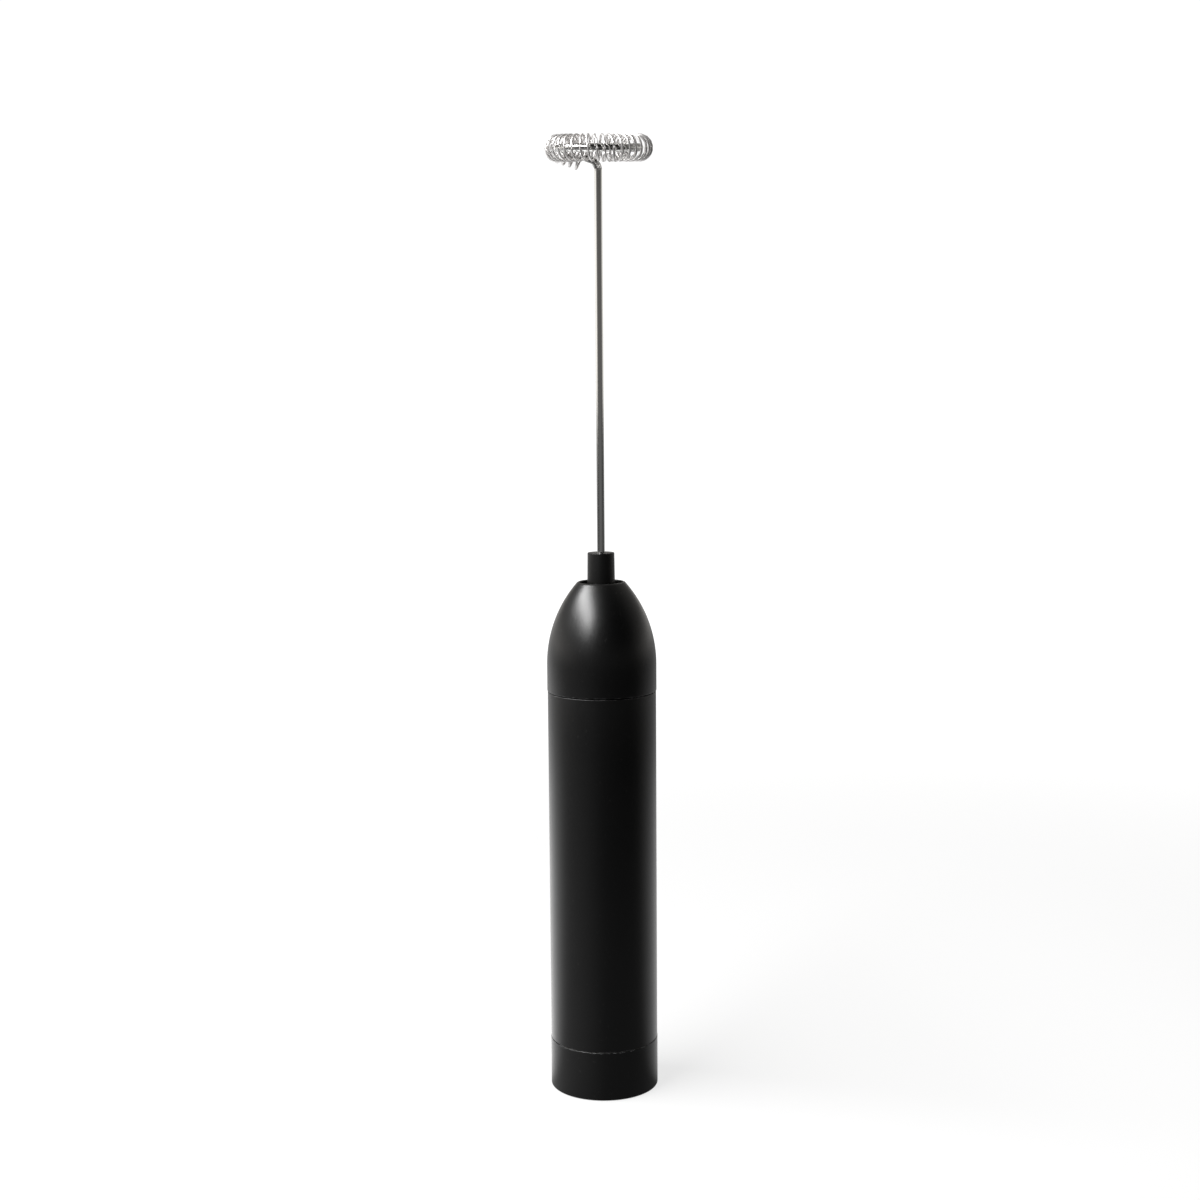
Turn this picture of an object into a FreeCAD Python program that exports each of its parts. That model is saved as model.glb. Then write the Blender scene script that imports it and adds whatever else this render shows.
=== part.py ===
"""Battery milk frother: torch-style handle, ogive nose, and a spring whisk on a wire ring.

Frame: millimetres, +Z up through the whisk, origin on the axis in the plane the tail cap stands on.
"""
import FreeCAD, Part
import Sketcher
import math
import os

DIMENSIONS = {
    # outside of the handle
    "barrel_radius": 14.0,
    "barrel_wall": 1.0,
    "barrel_length": 92.2,
    "cap_lip": 0.07,
    "cap_height": 12.7,
    "cap_seam": 0.12,
    "cap_floor": 1.8,
    "rim_bevel": 0.12,
    "edge_bevel": 0.1,
    # nose cone
    "gasket_thickness": 0.3,
    "gasket_inset": 0.3,
    "nose_lip": 0.12,
    "nose_wall": 1.12,
    "skirt_height": 6.8,
    "nose_curve": 32.25,
    "mouth_radius": 6.09,
    "mouth_bore": 5.65,
    # fits
    "slip_gap": 0.05,
    "running_gap": 0.03,
    "free_gap": 0.25,
    # screw collar and the bore of the tail cap, both at the thread's pitch line
    "collar_depth": 13.4,
    "spigot_wall": 0.9,
    "spigot_radius": 12.0,
    "spigot_bottom": 4.4,
    "relief_radius": 12.9,
    "relief_height": 2.6,
    "seal_room": 1.26,
    "seal_cord_radius": 0.42,
    # click switch in the tail cap
    "dish_radius": 9.5,
    "dish_depth": 0.5,
    "button_radius": 7.3,
    "button_recess": 0.8,
    "button_crown": 0.3,
    "button_flange": 8.6,
    "button_flange_thickness": 1.0,
    "button_travel": 1.2,
    "plunger_radius": 2.0,
    "plunger_length": 1.6,
    "switch_radius": 9.1,
    "switch_height": 3.6,
    "switch_bottom": 5.6,
    "boss_wall": 1.1,
    "retainer_thickness": 0.8,
    "retainer_bore": 7.2,
    "tail_contact_radius": 6.0,
    "sheet_metal": 0.3,
    "dome_foot_radius": 6.0,
    "dome_crown_radius": 3.8,
    "dome_wall": 0.7,
    "tail_spring_radius": 3.6,
    "tail_spring_wire": 0.3,
    "tail_spring_turns": 3.5,
    # batteries and their carrier
    "carrier_radius": 10.9,
    "carrier_bottom": 13.4,
    "carrier_plate": 2.4,
    "cell_radius": 5.2,
    "cell_length": 43.7,
    "cell_nub_radius": 1.9,
    "cell_nub_height": 0.8,
    "cell_bevel": 0.4,
    "cell_offset": 5.45,
    "cell_gap": 0.15,
    "cradle_opening": 4.6,
    "end_play": 1.0,
    "strip_width": 3.0,
    "strip_depth": 0.6,
    "carrier_spring_radius": 4.0,
    "carrier_spring_wire": 0.35,
    "carrier_spring_length": 4.6,
    "carrier_spring_turns": 4.0,
    "board_thickness": 1.6,
    # motor
    "motor_radius": 10.05,
    "motor_flat": 7.55,
    "motor_wall": 0.6,
    "can_length": 19.5,
    "end_bell_length": 5.0,
    "wiring_space": 11.2,
    "chassis_wall": 1.4,
    "chassis_plate": 2.2,
    "chassis_ring": 4.0,
    "motor_boss_radius": 3.05,
    "motor_boss_height": 1.7,
    "shaft_radius": 1.0,
    "shaft_reach": 14.0,
    "shaft_tip": 0.2,
    "bush_radius": 2.2,
    "bush_length": 2.4,
    "magnet_inner": 6.9,
    "magnet_thickness": 2.4,
    "magnet_width": 5.5,
    "magnet_length": 13.0,
    "armature_radius": 6.6,
    "armature_length": 10.0,
    "armature_hub": 2.4,
    "pole_count": 3,
    "pole_width": 2.2,
    "pole_shoe": 1.0,
    "slot_width": 2.0,
    "winding_width": 4.6,
    "winding_head": 1.0,
    "commutator_radius": 2.1,
    "commutator_length": 3.2,
    "commutator_slot": 0.3,
    "commutator_root": 1.4,
    "commutator_lift": 0.5,
    "brush_length": 1.4,
    "brush_width": 1.0,
    "terminal_thickness": 0.4,
    "screw_circle": 8.0,
    "screw_radius": 0.95,
    "screw_head_radius": 1.7,
    "screw_head_height": 1.0,
    "capacitor_radius": 2.4,
    "lead_radius": 0.55,
    "lead_reach": 2.75,
    "lead_bend": 1.65,
    # coupling and whisk
    "coupling_foot": 3.55,
    "coupling_top_radius": 3.45,
    "coupling_clearance": 3.2,
    "coupling_rise": 7.5,
    "coupling_bevel": 0.1,
    "coupling_grip": 14.0,
    "wire_radius": 1.0,
    "ring_height": 242.24,
    "ring_radius": 10.3,
    "ring_tilt": 6.0,
    "shaft_bend": 2.4,
    "ramp_turn": 70.5,
    "corner_run": 2.4,
    "ring_opening": 34.0,
    "coil_radius": 3.0,
    "coil_wire": 0.28,
    "coil_turns": 38,
    "coil_slant": 9.0,
    "ramp_turns": 2,
    "ramp_gap": 4.8,
    "ramp_pitch": 2.3,
}

doc = FreeCAD.newDocument("milk_frother")
sheet = doc.addObject("Spreadsheet::Sheet", "Dims")
for row, (alias, number) in enumerate(DIMENSIONS.items(), start=1):
    sheet.set("A%d" % row, alias)
    sheet.set("B%d" % row, "%g" % number)
    sheet.setAlias("B%d" % row, alias)
doc.recompute()


class Size:
    """A length that carries its number and the sheet expression it comes from."""

    def __init__(self, number, text):
        self.number = number
        self.text = text

    def joined(self, other, sign, result):
        return Size(result, "(%s %s %s)" % (self.text, sign, as_size(other).text))

    def __add__(self, other):
        return self.joined(other, "+", self.number + as_size(other).number)

    def __sub__(self, other):
        return self.joined(other, "-", self.number - as_size(other).number)

    def __mul__(self, other):
        return self.joined(other, "*", self.number * as_size(other).number)

    def __truediv__(self, other):
        return self.joined(other, "/", self.number / as_size(other).number)

    def __neg__(self):
        return Size(-self.number, "(0 - %s)" % self.text)

    def __float__(self):
        return self.number


def as_size(value):
    """Wrap a plain number so that it can stand in an expression."""
    if isinstance(value, Size):
        return value
    return Size(float(value), "%.9g" % value)


def dim(alias):
    """Read one driving dimension from the sheet."""
    return Size(float(sheet.get(alias)), "Dims.%s" % alias)


def root(size):
    """Square root of a sized area."""
    return Size(math.sqrt(size.number), "sqrt(%s)" % size.text)


def bind(item, **sizes):
    """Bind properties of an object to the sheet."""
    for name, size in sizes.items():
        item.setExpression(name, as_size(size).text)
    return item


def place(item, x=0.0, y=0.0, z=0.0, axis=(0, 0, 1), angle=0.0):
    """Turn an object about an axis, and bind its base point to the sheet."""
    item.Placement = FreeCAD.Placement(
        FreeCAD.Vector(float(as_size(x)), float(as_size(y)), float(as_size(z))),
        FreeCAD.Rotation(FreeCAD.Vector(*axis), angle),
    )
    for letter, size in (("x", x), ("y", y), ("z", z)):
        if isinstance(size, Size):
            item.setExpression("Placement.Base.%s" % letter, size.text)
    return item


sub_parts = {}


def keep(item, label):
    """Enter an object in the list of sub-parts under the name of its file."""
    item.Label = label
    sub_parts[label] = item
    return item


# ---------------------------------------------------------------- building blocks
def origin_plane(body, role):
    """Find one of a body's own origin planes by its role."""
    return next(plane for plane in body.Origin.OriginFeatures if plane.Role == role)


def pin_vertex(sketch, geometry, end, r, z):
    """Hold the end of a line or arc at radius r and height z."""
    for kind, size in (("DistanceX", r), ("DistanceY", z)):
        size = as_size(size)
        if size.number == 0.0:
            on_axis = -2 if kind == "DistanceX" else -1
            sketch.addConstraint(Sketcher.Constraint("PointOnObject", geometry, end, on_axis))
            continue
        held = sketch.addConstraint(Sketcher.Constraint(kind, -1, 1, geometry, end, size.number))
        sketch.setExpression("Constraints[%d]" % held, size.text)


def draw_outline(sketch, outline):
    """Draw a closed outline of (r, z) points; a third value makes the edge that arrives there an arc."""
    corners = [(float(as_size(p[0])), float(as_size(p[1]))) for p in outline]
    count = len(outline)
    for index in range(count):
        start = corners[index]
        finish = corners[(index + 1) % count]
        target = outline[(index + 1) % count]
        if len(target) == 3:
            sketch.addGeometry(arc_between(start, finish, float(target[2])), False)
        else:
            sketch.addGeometry(Part.LineSegment(vector2(start), vector2(finish)), False)
    for index in range(count):
        following = (index + 1) % count
        arc = len(outline[following]) == 3
        next_is_arc = len(outline[(following + 1) % count]) == 3
        arriving = arc_end(outline[following]) if arc else 2
        leaving = 3 - arc_end(outline[(following + 1) % count]) if next_is_arc else 1
        sketch.addConstraint(Sketcher.Constraint("Coincident", index, arriving, following, leaving))
        pin_vertex(sketch, following, leaving, outline[following][0], outline[following][1])
        if arc:
            radius = as_size(outline[following][2])
            if radius.number < 0:
                radius = -radius
            held = sketch.addConstraint(Sketcher.Constraint("Radius", index, radius.number))
            sketch.setExpression("Constraints[%d]" % held, radius.text)


def vector2(point):
    """Sketch point as a vector."""
    return FreeCAD.Vector(point[0], point[1], 0)


def arc_between(start, finish, radius):
    """Arc from start to finish, run anticlockwise for a positive radius and clockwise for a negative one."""
    chord = vector2(finish) - vector2(start)
    middle = (vector2(start) + vector2(finish)) * 0.5
    side = FreeCAD.Vector(-chord.y, chord.x, 0).normalize()
    depth = math.sqrt(radius * radius - chord.Length ** 2 / 4)
    centre = middle + side * math.copysign(depth, radius)
    angles = [math.atan2(p[1] - centre.y, p[0] - centre.x) for p in (start, finish)]
    if radius < 0:
        angles.reverse()
    circle = Part.Circle(centre, FreeCAD.Vector(0, 0, 1), abs(radius))
    return Part.ArcOfCircle(circle, angles[0], angles[1])


def arc_end(target):
    """Which end of the arc's geometry lies at the finish: 2 when it runs anticlockwise, else 1."""
    return 2 if float(target[2]) > 0 else 1


def turned(label, outline):
    """A turned piece: a body whose profile sketch is revolved about Z."""
    body = doc.addObject("PartDesign::Body", label + "_body")
    sketch = body.newObject("Sketcher::SketchObject", label + "_profile")
    sketch.AttachmentSupport = (origin_plane(body, "XZ_Plane"), [""])
    sketch.MapMode = "FlatFace"
    draw_outline(sketch, outline)
    revolution = body.newObject("PartDesign::Revolution", label + "_turning")
    revolution.Profile = sketch
    revolution.ReferenceAxis = (sketch, ["V_Axis"])
    revolution.Angle = 360.0
    body.Tip = revolution
    return body


def ring(label, inner, outer, bottom, top):
    """A plain turned ring or disc; an inner radius of 0 makes a disc."""
    return turned(label, [(inner, bottom), (outer, bottom), (outer, top), (inner, top)])


def rod(name, radius, height, x=0.0, y=0.0, z=0.0, axis=(0, 0, 1), angle=0.0):
    """A Part cylinder standing at a point."""
    cylinder = doc.addObject("Part::Cylinder", name)
    bind(cylinder, Radius=radius, Height=height)
    return place(cylinder, x, y, z, axis, angle)


def block(name, size, corner):
    """A Part box of a size, with its lowest corner at a point."""
    box = doc.addObject("Part::Box", name)
    bind(box, Length=size[0], Width=size[1], Height=size[2])
    return place(box, *corner)


def fuse(name, *items):
    """Fuse objects into one."""
    fusion = doc.addObject("Part::MultiFuse", name)
    fusion.Shapes = list(items)
    return fusion


def cut(name, base, tool):
    """Cut a tool out of a base."""
    result = doc.addObject("Part::Cut", name)
    result.Base = base
    result.Tool = tool
    return result


def common(name, *items):
    """Keep what all the objects share."""
    result = doc.addObject("Part::MultiCommon", name)
    result.Shapes = list(items)
    return result


def sweep_helix(name, profile, pitch, height, radius, bottom):
    """Sweep a profile that stands at the start of a helix, then lift the whole to its height."""
    helix = doc.addObject("Part::Helix", name + "_path")
    bind(helix, Pitch=pitch, Height=height, Radius=radius)
    sweep = doc.addObject("Part::Sweep", name)
    sweep.Sections = [profile]
    sweep.Spine = (helix, [])
    sweep.Solid = True
    sweep.Frenet = True
    return place(sweep, z=bottom)


def coil_spring(label, radius, wire, bottom, top, turns):
    """A round-wire compression spring that fills the height from bottom to top."""
    profile = doc.addObject("Part::Circle", label + "_wire")
    bind(profile, Radius=wire)
    place(profile, x=radius, axis=(1, 0, 0), angle=90)
    rise = top - bottom - wire * 2
    spring = sweep_helix(label + "_coil", profile, rise / turns, rise, radius, bottom + wire)
    return keep(spring, label)


def tracked_solid(label, shape):
    """A piece whose shape is worked out from the sheet by Part's own functions."""
    feature = doc.addObject("Part::Feature", label + "_solid")
    feature.Shape = shape
    return keep(feature, label)


def pipe(points, bends, radius):
    """Sweep a round section along straight runs joined by tangent arcs."""
    edges = []
    start = points[0]
    for corner, after, bend in zip(points[1:-1], points[2:], bends):
        arriving = (corner - start).normalize()
        leaving = (after - corner).normalize()
        turn = arriving.getAngle(leaving)
        run = bend * math.tan(turn / 2)
        begin = corner - arriving * run
        end = corner + leaving * run
        inward = (leaving - arriving).normalize()
        middle = corner + inward * (bend / math.cos(turn / 2) - bend)
        edges.append(Part.LineSegment(start, begin).toShape())
        edges.append(Part.Arc(begin, middle, end).toShape())
        start = end
    if (points[-1] - start).Length > 1e-6:
        edges.append(Part.LineSegment(start, points[-1]).toShape())
    path = Part.Wire(edges)
    return sweep_round(path, points[0], points[1] - points[0], radius)


def sweep_round(path, start, direction, radius):
    """Sweep a circle square to the start of a path."""
    section = Part.Wire([Part.Circle(start, direction, radius).toShape()])
    return path.makePipeShell([section], True, True)


# ---------------------------------------------------------------- heights along the axis
barrel_bottom = dim("cap_height") + dim("cap_seam")
barrel_top = barrel_bottom + dim("barrel_length")
barrel_bore = dim("barrel_radius") - dim("barrel_wall")
nose_bottom = barrel_top + dim("gasket_thickness")
nose_radius = dim("barrel_radius") + dim("nose_lip")
cap_radius = dim("barrel_radius") + dim("cap_lip")
shoulder = nose_bottom + dim("skirt_height")
nose_bore = nose_radius - dim("nose_wall")
curve_centre = nose_radius - dim("nose_curve")
mouth_reach = dim("mouth_radius") - curve_centre
nose_rise = root(dim("nose_curve") * dim("nose_curve") - mouth_reach * mouth_reach)
mouth = shoulder + nose_rise
inner_curve = dim("nose_curve") - dim("nose_wall")
bore_reach = dim("mouth_bore") - curve_centre
mouth_ledge = shoulder + root(inner_curve * inner_curve - bore_reach * bore_reach)
sleeve_radius = barrel_bore - dim("slip_gap")

carrier_bottom = dim("carrier_bottom")
cradle_bottom = carrier_bottom + dim("carrier_plate")
cell_bottom = cradle_bottom + dim("sheet_metal") + dim("end_play") / 2
cell_height = dim("cell_length") + dim("cell_nub_height")
cradle_length = cell_height + dim("sheet_metal") * 2 + dim("end_play")
cradle_top = cradle_bottom + cradle_length
carrier_top = cradle_top + dim("carrier_plate")
spring_bottom = carrier_top + dim("sheet_metal") + dim("slip_gap")
spring_top = spring_bottom + dim("carrier_spring_length")
board_bottom = spring_top + dim("sheet_metal")
board_top = board_bottom + dim("board_thickness")
end_bell_bottom = board_top + dim("wiring_space")
can_bottom = end_bell_bottom + dim("end_bell_length")
motor_front = can_bottom + dim("can_length")
boss_top = motor_front + dim("motor_boss_height")
plate_top = motor_front + dim("chassis_plate")
shaft_top = boss_top + dim("shaft_reach")
coupling_bottom = boss_top + dim("coupling_clearance")
coupling_top = mouth + dim("coupling_rise")
whisk_bottom = coupling_top - dim("coupling_grip")


# ---------------------------------------------------------------- handle shells
def build_barrel():
    """Straight tube with both ends bevelled."""
    bevel = dim("edge_bevel")
    outer = dim("barrel_radius")
    keep(turned("barrel_tube", [
        (barrel_bore, barrel_bottom),
        (outer - bevel, barrel_bottom),
        (outer, barrel_bottom + bevel),
        (outer, barrel_top - bevel),
        (outer - bevel, barrel_top),
        (barrel_bore, barrel_top),
    ]), "barrel_tube")


def build_nose():
    """One-piece nose: straight skirt, ogive, and a bored mouth; the inner curve has the same centre."""
    keep(turned("nose_cone", [
        (nose_bore, nose_bottom),
        (nose_radius - dim("edge_bevel"), nose_bottom),
        (nose_radius, nose_bottom + dim("edge_bevel")),
        (nose_radius, shoulder),
        (dim("mouth_radius"), mouth, dim("nose_curve")),
        (dim("mouth_bore"), mouth),
        (dim("mouth_bore"), mouth_ledge),
        (nose_bore, shoulder, -inner_curve),
    ]), "nose_cone")
    keep(ring("nose_gasket", sleeve_radius + dim("slip_gap"), dim("barrel_radius") - dim("gasket_inset"),
              barrel_top, nose_bottom), "nose_gasket")


def build_collar():
    """Screw collar pressed into the barrel's lower end, with the seal that sits on it."""
    seat = barrel_bottom + dim("slip_gap")
    bore = dim("spigot_radius") - dim("spigot_wall")
    keep(turned("battery_collar", [
        (bore, dim("spigot_bottom")),
        (dim("spigot_radius"), dim("spigot_bottom")),
        (dim("spigot_radius"), seat),
        (sleeve_radius, seat),
        (sleeve_radius, seat + dim("collar_depth")),
        (bore, seat + dim("collar_depth")),
    ]), "battery_collar")
    seal = doc.addObject("Part::Torus", "seal_torus")
    bind(seal, Radius1=dim("spigot_radius") + dim("seal_cord_radius") + dim("running_gap"),
         Radius2=dim("seal_cord_radius"))
    place(seal, z=seat - dim("seal_cord_radius") - dim("running_gap") - dim("slip_gap"))
    keep(seal, "cap_seal_ring")


def build_tail_cap():
    """Cup that screws onto the collar; its floor is dished and bored for the button."""
    bore = dim("spigot_radius") + dim("free_gap")
    outer = cap_radius
    rim = dim("rim_bevel")
    top = dim("cap_height")
    floor = dim("cap_floor")
    relief_top = floor + dim("relief_height")
    seal_bottom = top - dim("seal_room")
    boss_inner = dim("switch_radius") + dim("slip_gap")
    boss_top_z = dim("switch_bottom") + dim("switch_height") + dim("retainer_thickness")
    keep(turned("tail_cap", [
        (dim("button_radius") + dim("free_gap"), dim("dish_depth")),
        (dim("dish_radius"), dim("dish_depth")),
        (dim("dish_radius") + dim("dish_depth"), 0),
        (outer - rim, 0),
        (outer, rim),
        (outer, top - dim("edge_bevel")),
        (outer - dim("edge_bevel"), top),
        (dim("relief_radius"), top),
        (dim("relief_radius"), seal_bottom),
        (bore, seal_bottom),
        (bore, relief_top),
        (dim("relief_radius"), relief_top),
        (dim("relief_radius"), floor),
        (boss_inner + dim("boss_wall"), floor),
        (boss_inner + dim("boss_wall"), boss_top_z),
        (boss_inner, boss_top_z),
        (boss_inner, floor),
        (dim("button_radius") + dim("free_gap"), floor),
    ]), "tail_cap")


# ---------------------------------------------------------------- click switch
def build_switch():
    """Push button, its silicone return dome, the switch body, and the contact that feeds the cells."""
    face = dim("button_recess")
    flange = dim("cap_floor") + dim("free_gap")
    flange_top = flange + dim("button_flange_thickness")
    switch_bottom = dim("switch_bottom")
    switch_top = switch_bottom + dim("switch_height")
    crown = dim("button_crown")
    sphere = (dim("button_radius") * dim("button_radius") + crown * crown) / (crown * 2)
    keep(turned("switch_button", [
        (0, face),
        (dim("button_radius"), face + crown, sphere),
        (dim("button_radius"), flange),
        (dim("button_flange"), flange),
        (dim("button_flange"), flange_top),
        (dim("plunger_radius"), flange_top),
        (dim("plunger_radius"), flange_top + dim("plunger_length")),
        (0, flange_top + dim("plunger_length")),
    ]), "switch_button")
    dome_bottom = flange_top + dim("running_gap")
    dome_top = switch_bottom - dim("running_gap")
    keep(turned("return_dome", [
        (dim("dome_foot_radius") - dim("dome_wall"), dome_bottom),
        (dim("dome_foot_radius"), dome_bottom),
        (dim("dome_crown_radius"), dome_top),
        (dim("dome_crown_radius") - dim("dome_wall"), dome_top),
    ]), "return_dome")
    plunger_bore = dim("plunger_radius") + dim("free_gap")
    plunger_end = flange_top + dim("plunger_length") + dim("button_travel") + dim("free_gap")
    keep(turned("switch_body", [
        (plunger_bore, switch_bottom),
        (dim("switch_radius"), switch_bottom),
        (dim("switch_radius"), switch_top),
        (0, switch_top),
        (0, plunger_end),
        (plunger_bore, plunger_end),
    ]), "switch_body")
    keep(ring("switch_retainer", dim("retainer_bore"), dim("switch_radius"),
              switch_top, switch_top + dim("retainer_thickness")), "switch_retainer")
    keep(ring("tail_contact", 0, dim("tail_contact_radius"), switch_top,
              switch_top + dim("sheet_metal")), "tail_contact")
    coil_spring("tail_spring", dim("tail_spring_radius"), dim("tail_spring_wire"),
                switch_top + dim("sheet_metal"),
                carrier_bottom - dim("sheet_metal") - dim("running_gap"), dim("tail_spring_turns"))


# ---------------------------------------------------------------- batteries
def build_carrier():
    """Moulded carrier: two end plates joined by a pair of ribs that cradle the cells."""
    radius = dim("carrier_radius")
    blank = rod("carrier_blank", radius, carrier_top - carrier_bottom, z=carrier_bottom)
    pocket_radius = dim("cell_radius") + dim("cell_gap")
    opening = dim("cradle_opening")
    tools = []
    for side, sign in (("left", -1), ("right", 1)):
        offset = dim("cell_offset") * sign
        tools.append(rod("cradle_" + side, pocket_radius, cradle_length, x=offset, z=cradle_bottom))
        corner = offset if sign > 0 else offset - radius
        tools.append(block("cradle_side_" + side, (radius, opening * 2, cradle_length),
                           (corner, -opening, cradle_bottom)))
    strip_depth = dim("strip_depth")
    tools.append(block("bridge_recess", (dim("cell_offset") * 2, dim("strip_width") + dim("slip_gap") * 2,
                                         strip_depth),
                       (-dim("cell_offset"), -(dim("strip_width") / 2 + dim("slip_gap")),
                        cradle_top - strip_depth)))
    tools.append(block("strip_slot", (dim("strip_width") + dim("cell_gap") * 2, strip_depth * 2,
                                      carrier_top - carrier_bottom),
                       (-(dim("strip_width") / 2 + dim("cell_gap")), radius - strip_depth, carrier_bottom)))
    keep(cut("carrier_cut", blank, fuse("carrier_tools", *tools)), "battery_carrier")


def build_cell(label, sign, flipped):
    """One AAA cell: a can with a raised positive nub, standing either way up."""
    shoulder_bevel = dim("cell_bevel")
    length = dim("cell_length")
    cell = turned(label, [
        (0, 0),
        (dim("cell_radius") - shoulder_bevel, 0),
        (dim("cell_radius"), shoulder_bevel),
        (dim("cell_radius"), length - shoulder_bevel),
        (dim("cell_radius") - shoulder_bevel, length),
        (dim("cell_nub_radius"), length),
        (dim("cell_nub_radius"), cell_height),
        (0, cell_height),
    ])
    base = cell_bottom + cell_height if flipped else cell_bottom
    place(cell, x=dim("cell_offset") * sign, z=base, axis=(1, 0, 0), angle=180 if flipped else 0)
    keep(cell, label)


def build_contacts():
    """Pressed contacts on the carrier and the strip that brings the far cell's pole to the top."""
    metal = dim("sheet_metal")
    half = dim("strip_width") / 2
    reach = dim("cell_offset") + half
    keep(block("bridge_plate", (reach * 2, dim("strip_width"), metal),
               (-reach, -half, cradle_top - metal)), "bridge_contact")
    keep(ring("tail_plate_disc", 0, dim("tail_contact_radius"), carrier_bottom - metal,
              carrier_bottom), "tail_plate")
    foot = block("cell_plate_left", (half * 2, half * 2, metal),
                 (-(dim("cell_offset") + half), -half, cradle_bottom))
    keep(foot, "negative_contact")
    edge = dim("carrier_radius") - dim("strip_depth")
    rise = block("strip_rise", (dim("strip_width"), metal, carrier_top - cradle_bottom + metal),
                 (-half, edge, cradle_bottom))
    top = block("strip_top", (dim("strip_width"), edge + half + metal, metal), (-half, -half, carrier_top))
    keep(fuse("strip_fusion", rise, top), "return_strip")
    keep(block("cell_plate_right", (half * 2, half * 2, metal),
               (dim("cell_offset") - half, -half, cradle_bottom)), "positive_contact")


def build_board():
    """Contact board over the carrier, with the spring that presses the cells down."""
    keep(ring("contact_board", 0, sleeve_radius, board_bottom, board_top), "contact_board")
    keep(ring("spring_pad", 0, dim("tail_contact_radius"), spring_top, board_bottom), "spring_pad")
    coil_spring("carrier_spring", dim("carrier_spring_radius"), dim("carrier_spring_wire"),
                spring_bottom, spring_top, dim("carrier_spring_turns"))


# ---------------------------------------------------------------- motor
def flatted(name, radius, flat, length, bottom):
    """A round bar with two flats, square to Y."""
    bar = rod(name + "_round", radius, length, z=bottom)
    limits = block(name + "_flats", (radius * 2, flat * 2, length), (-radius, -flat, bottom))
    return common(name, bar, limits)


def build_motor_case():
    """Drawn can with two flats, its plastic end bell, and the sintered bushes."""
    wall = dim("motor_wall")
    outside = flatted("can_outside", dim("motor_radius"), dim("motor_flat"), dim("can_length"), can_bottom)
    inside = flatted("can_inside", dim("motor_radius") - wall, dim("motor_flat") - wall,
                     dim("can_length") - wall, can_bottom)
    boss = rod("can_boss", dim("motor_boss_radius"), dim("motor_boss_height"), z=motor_front)
    bush_hole = rod("can_bush_hole", dim("bush_radius"), dim("motor_boss_height") + wall,
                    z=motor_front - wall)
    holes = [inside, bush_hole]
    for side, sign in (("left", -1), ("right", 1)):
        holes.append(rod("can_screw_hole_" + side, dim("screw_radius"), wall,
                         x=dim("screw_circle") * sign, z=motor_front - wall))
    keep(cut("can_cut", fuse("can_blank", outside, boss), fuse("can_holes", *holes)), "motor_can")
    bush_bore = dim("shaft_radius") + dim("running_gap")
    bush_bottom = boss_top - dim("bush_length")
    keep(ring("front_bush", bush_bore, dim("bush_radius"), bush_bottom, boss_top), "front_bush")
    bell = flatted("bell_outside", dim("motor_radius"), dim("motor_flat"), dim("end_bell_length"),
                   end_bell_bottom)
    rear_boss = rod("bell_boss", dim("motor_boss_radius"), dim("bush_length") / 2,
                    z=end_bell_bottom - dim("bush_length") / 2)
    brush_room = rod("bell_room", dim("motor_flat") - wall * 2,
                     dim("end_bell_length") - dim("bush_length") / 2,
                     z=end_bell_bottom + dim("bush_length") / 2)
    rear_hole = rod("bell_bush_hole", dim("bush_radius"), dim("bush_length"),
                    z=end_bell_bottom - dim("bush_length") / 2)
    slots = []
    for side, sign in (("left", -1), ("right", 1)):
        slots.append(block("terminal_slot_" + side, terminal_size(),
                           terminal_corner(sign, end_bell_bottom - terminal_drop())))
    keep(cut("bell_cut", fuse("bell_blank", bell, rear_boss),
             fuse("bell_holes", brush_room, rear_hole, *slots)), "motor_end_bell")
    keep(ring("rear_bush", bush_bore, dim("bush_radius"), end_bell_bottom - dim("bush_length") / 2,
              end_bell_bottom + dim("bush_length") / 2), "rear_bush")


def brush_start():
    """Radius at which a brush meets the commutator."""
    return dim("commutator_radius") + dim("running_gap")


def terminal_drop():
    """How far a terminal stands out below the end bell."""
    return dim("bush_length")


def terminal_size():
    """Length, width and height of one terminal blade."""
    return (dim("terminal_thickness"), dim("brush_width") * 2, terminal_drop() + dim("end_bell_length"))


def terminal_corner(sign, bottom):
    """Lowest corner of the terminal on one side."""
    inner = brush_start() + dim("brush_length")
    x = inner if sign > 0 else -(inner + dim("terminal_thickness"))
    return (x, -dim("brush_width"), bottom)


def build_brush_gear():
    """Two carbon brushes on their terminal blades, and the capacitor between the blades."""
    brush_bottom = commutator_bottom() + dim("brush_width") / 2
    brushes = []
    blades = []
    for side, sign in (("left", -1), ("right", 1)):
        x = brush_start() if sign > 0 else -(brush_start() + dim("brush_length"))
        brush_size = (dim("brush_length"), dim("brush_width") * 2, dim("brush_width") * 2)
        brushes.append(block("brush_" + side, brush_size, (x, -dim("brush_width"), brush_bottom)))
        blades.append(block("blade_" + side, terminal_size(),
                            terminal_corner(sign, end_bell_bottom - terminal_drop())))
    keep(fuse("brush_pair", *brushes), "carbon_brushes")
    keep(fuse("blade_pair", *blades), "motor_terminals")
    disc_bottom = board_top + dim("capacitor_radius") + dim("free_gap")
    keep(rod("capacitor_disc", dim("capacitor_radius"), dim("brush_width") * 2,
             y=dim("brush_width"), z=disc_bottom, axis=(1, 0, 0), angle=90), "suppressor_capacitor")


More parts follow.
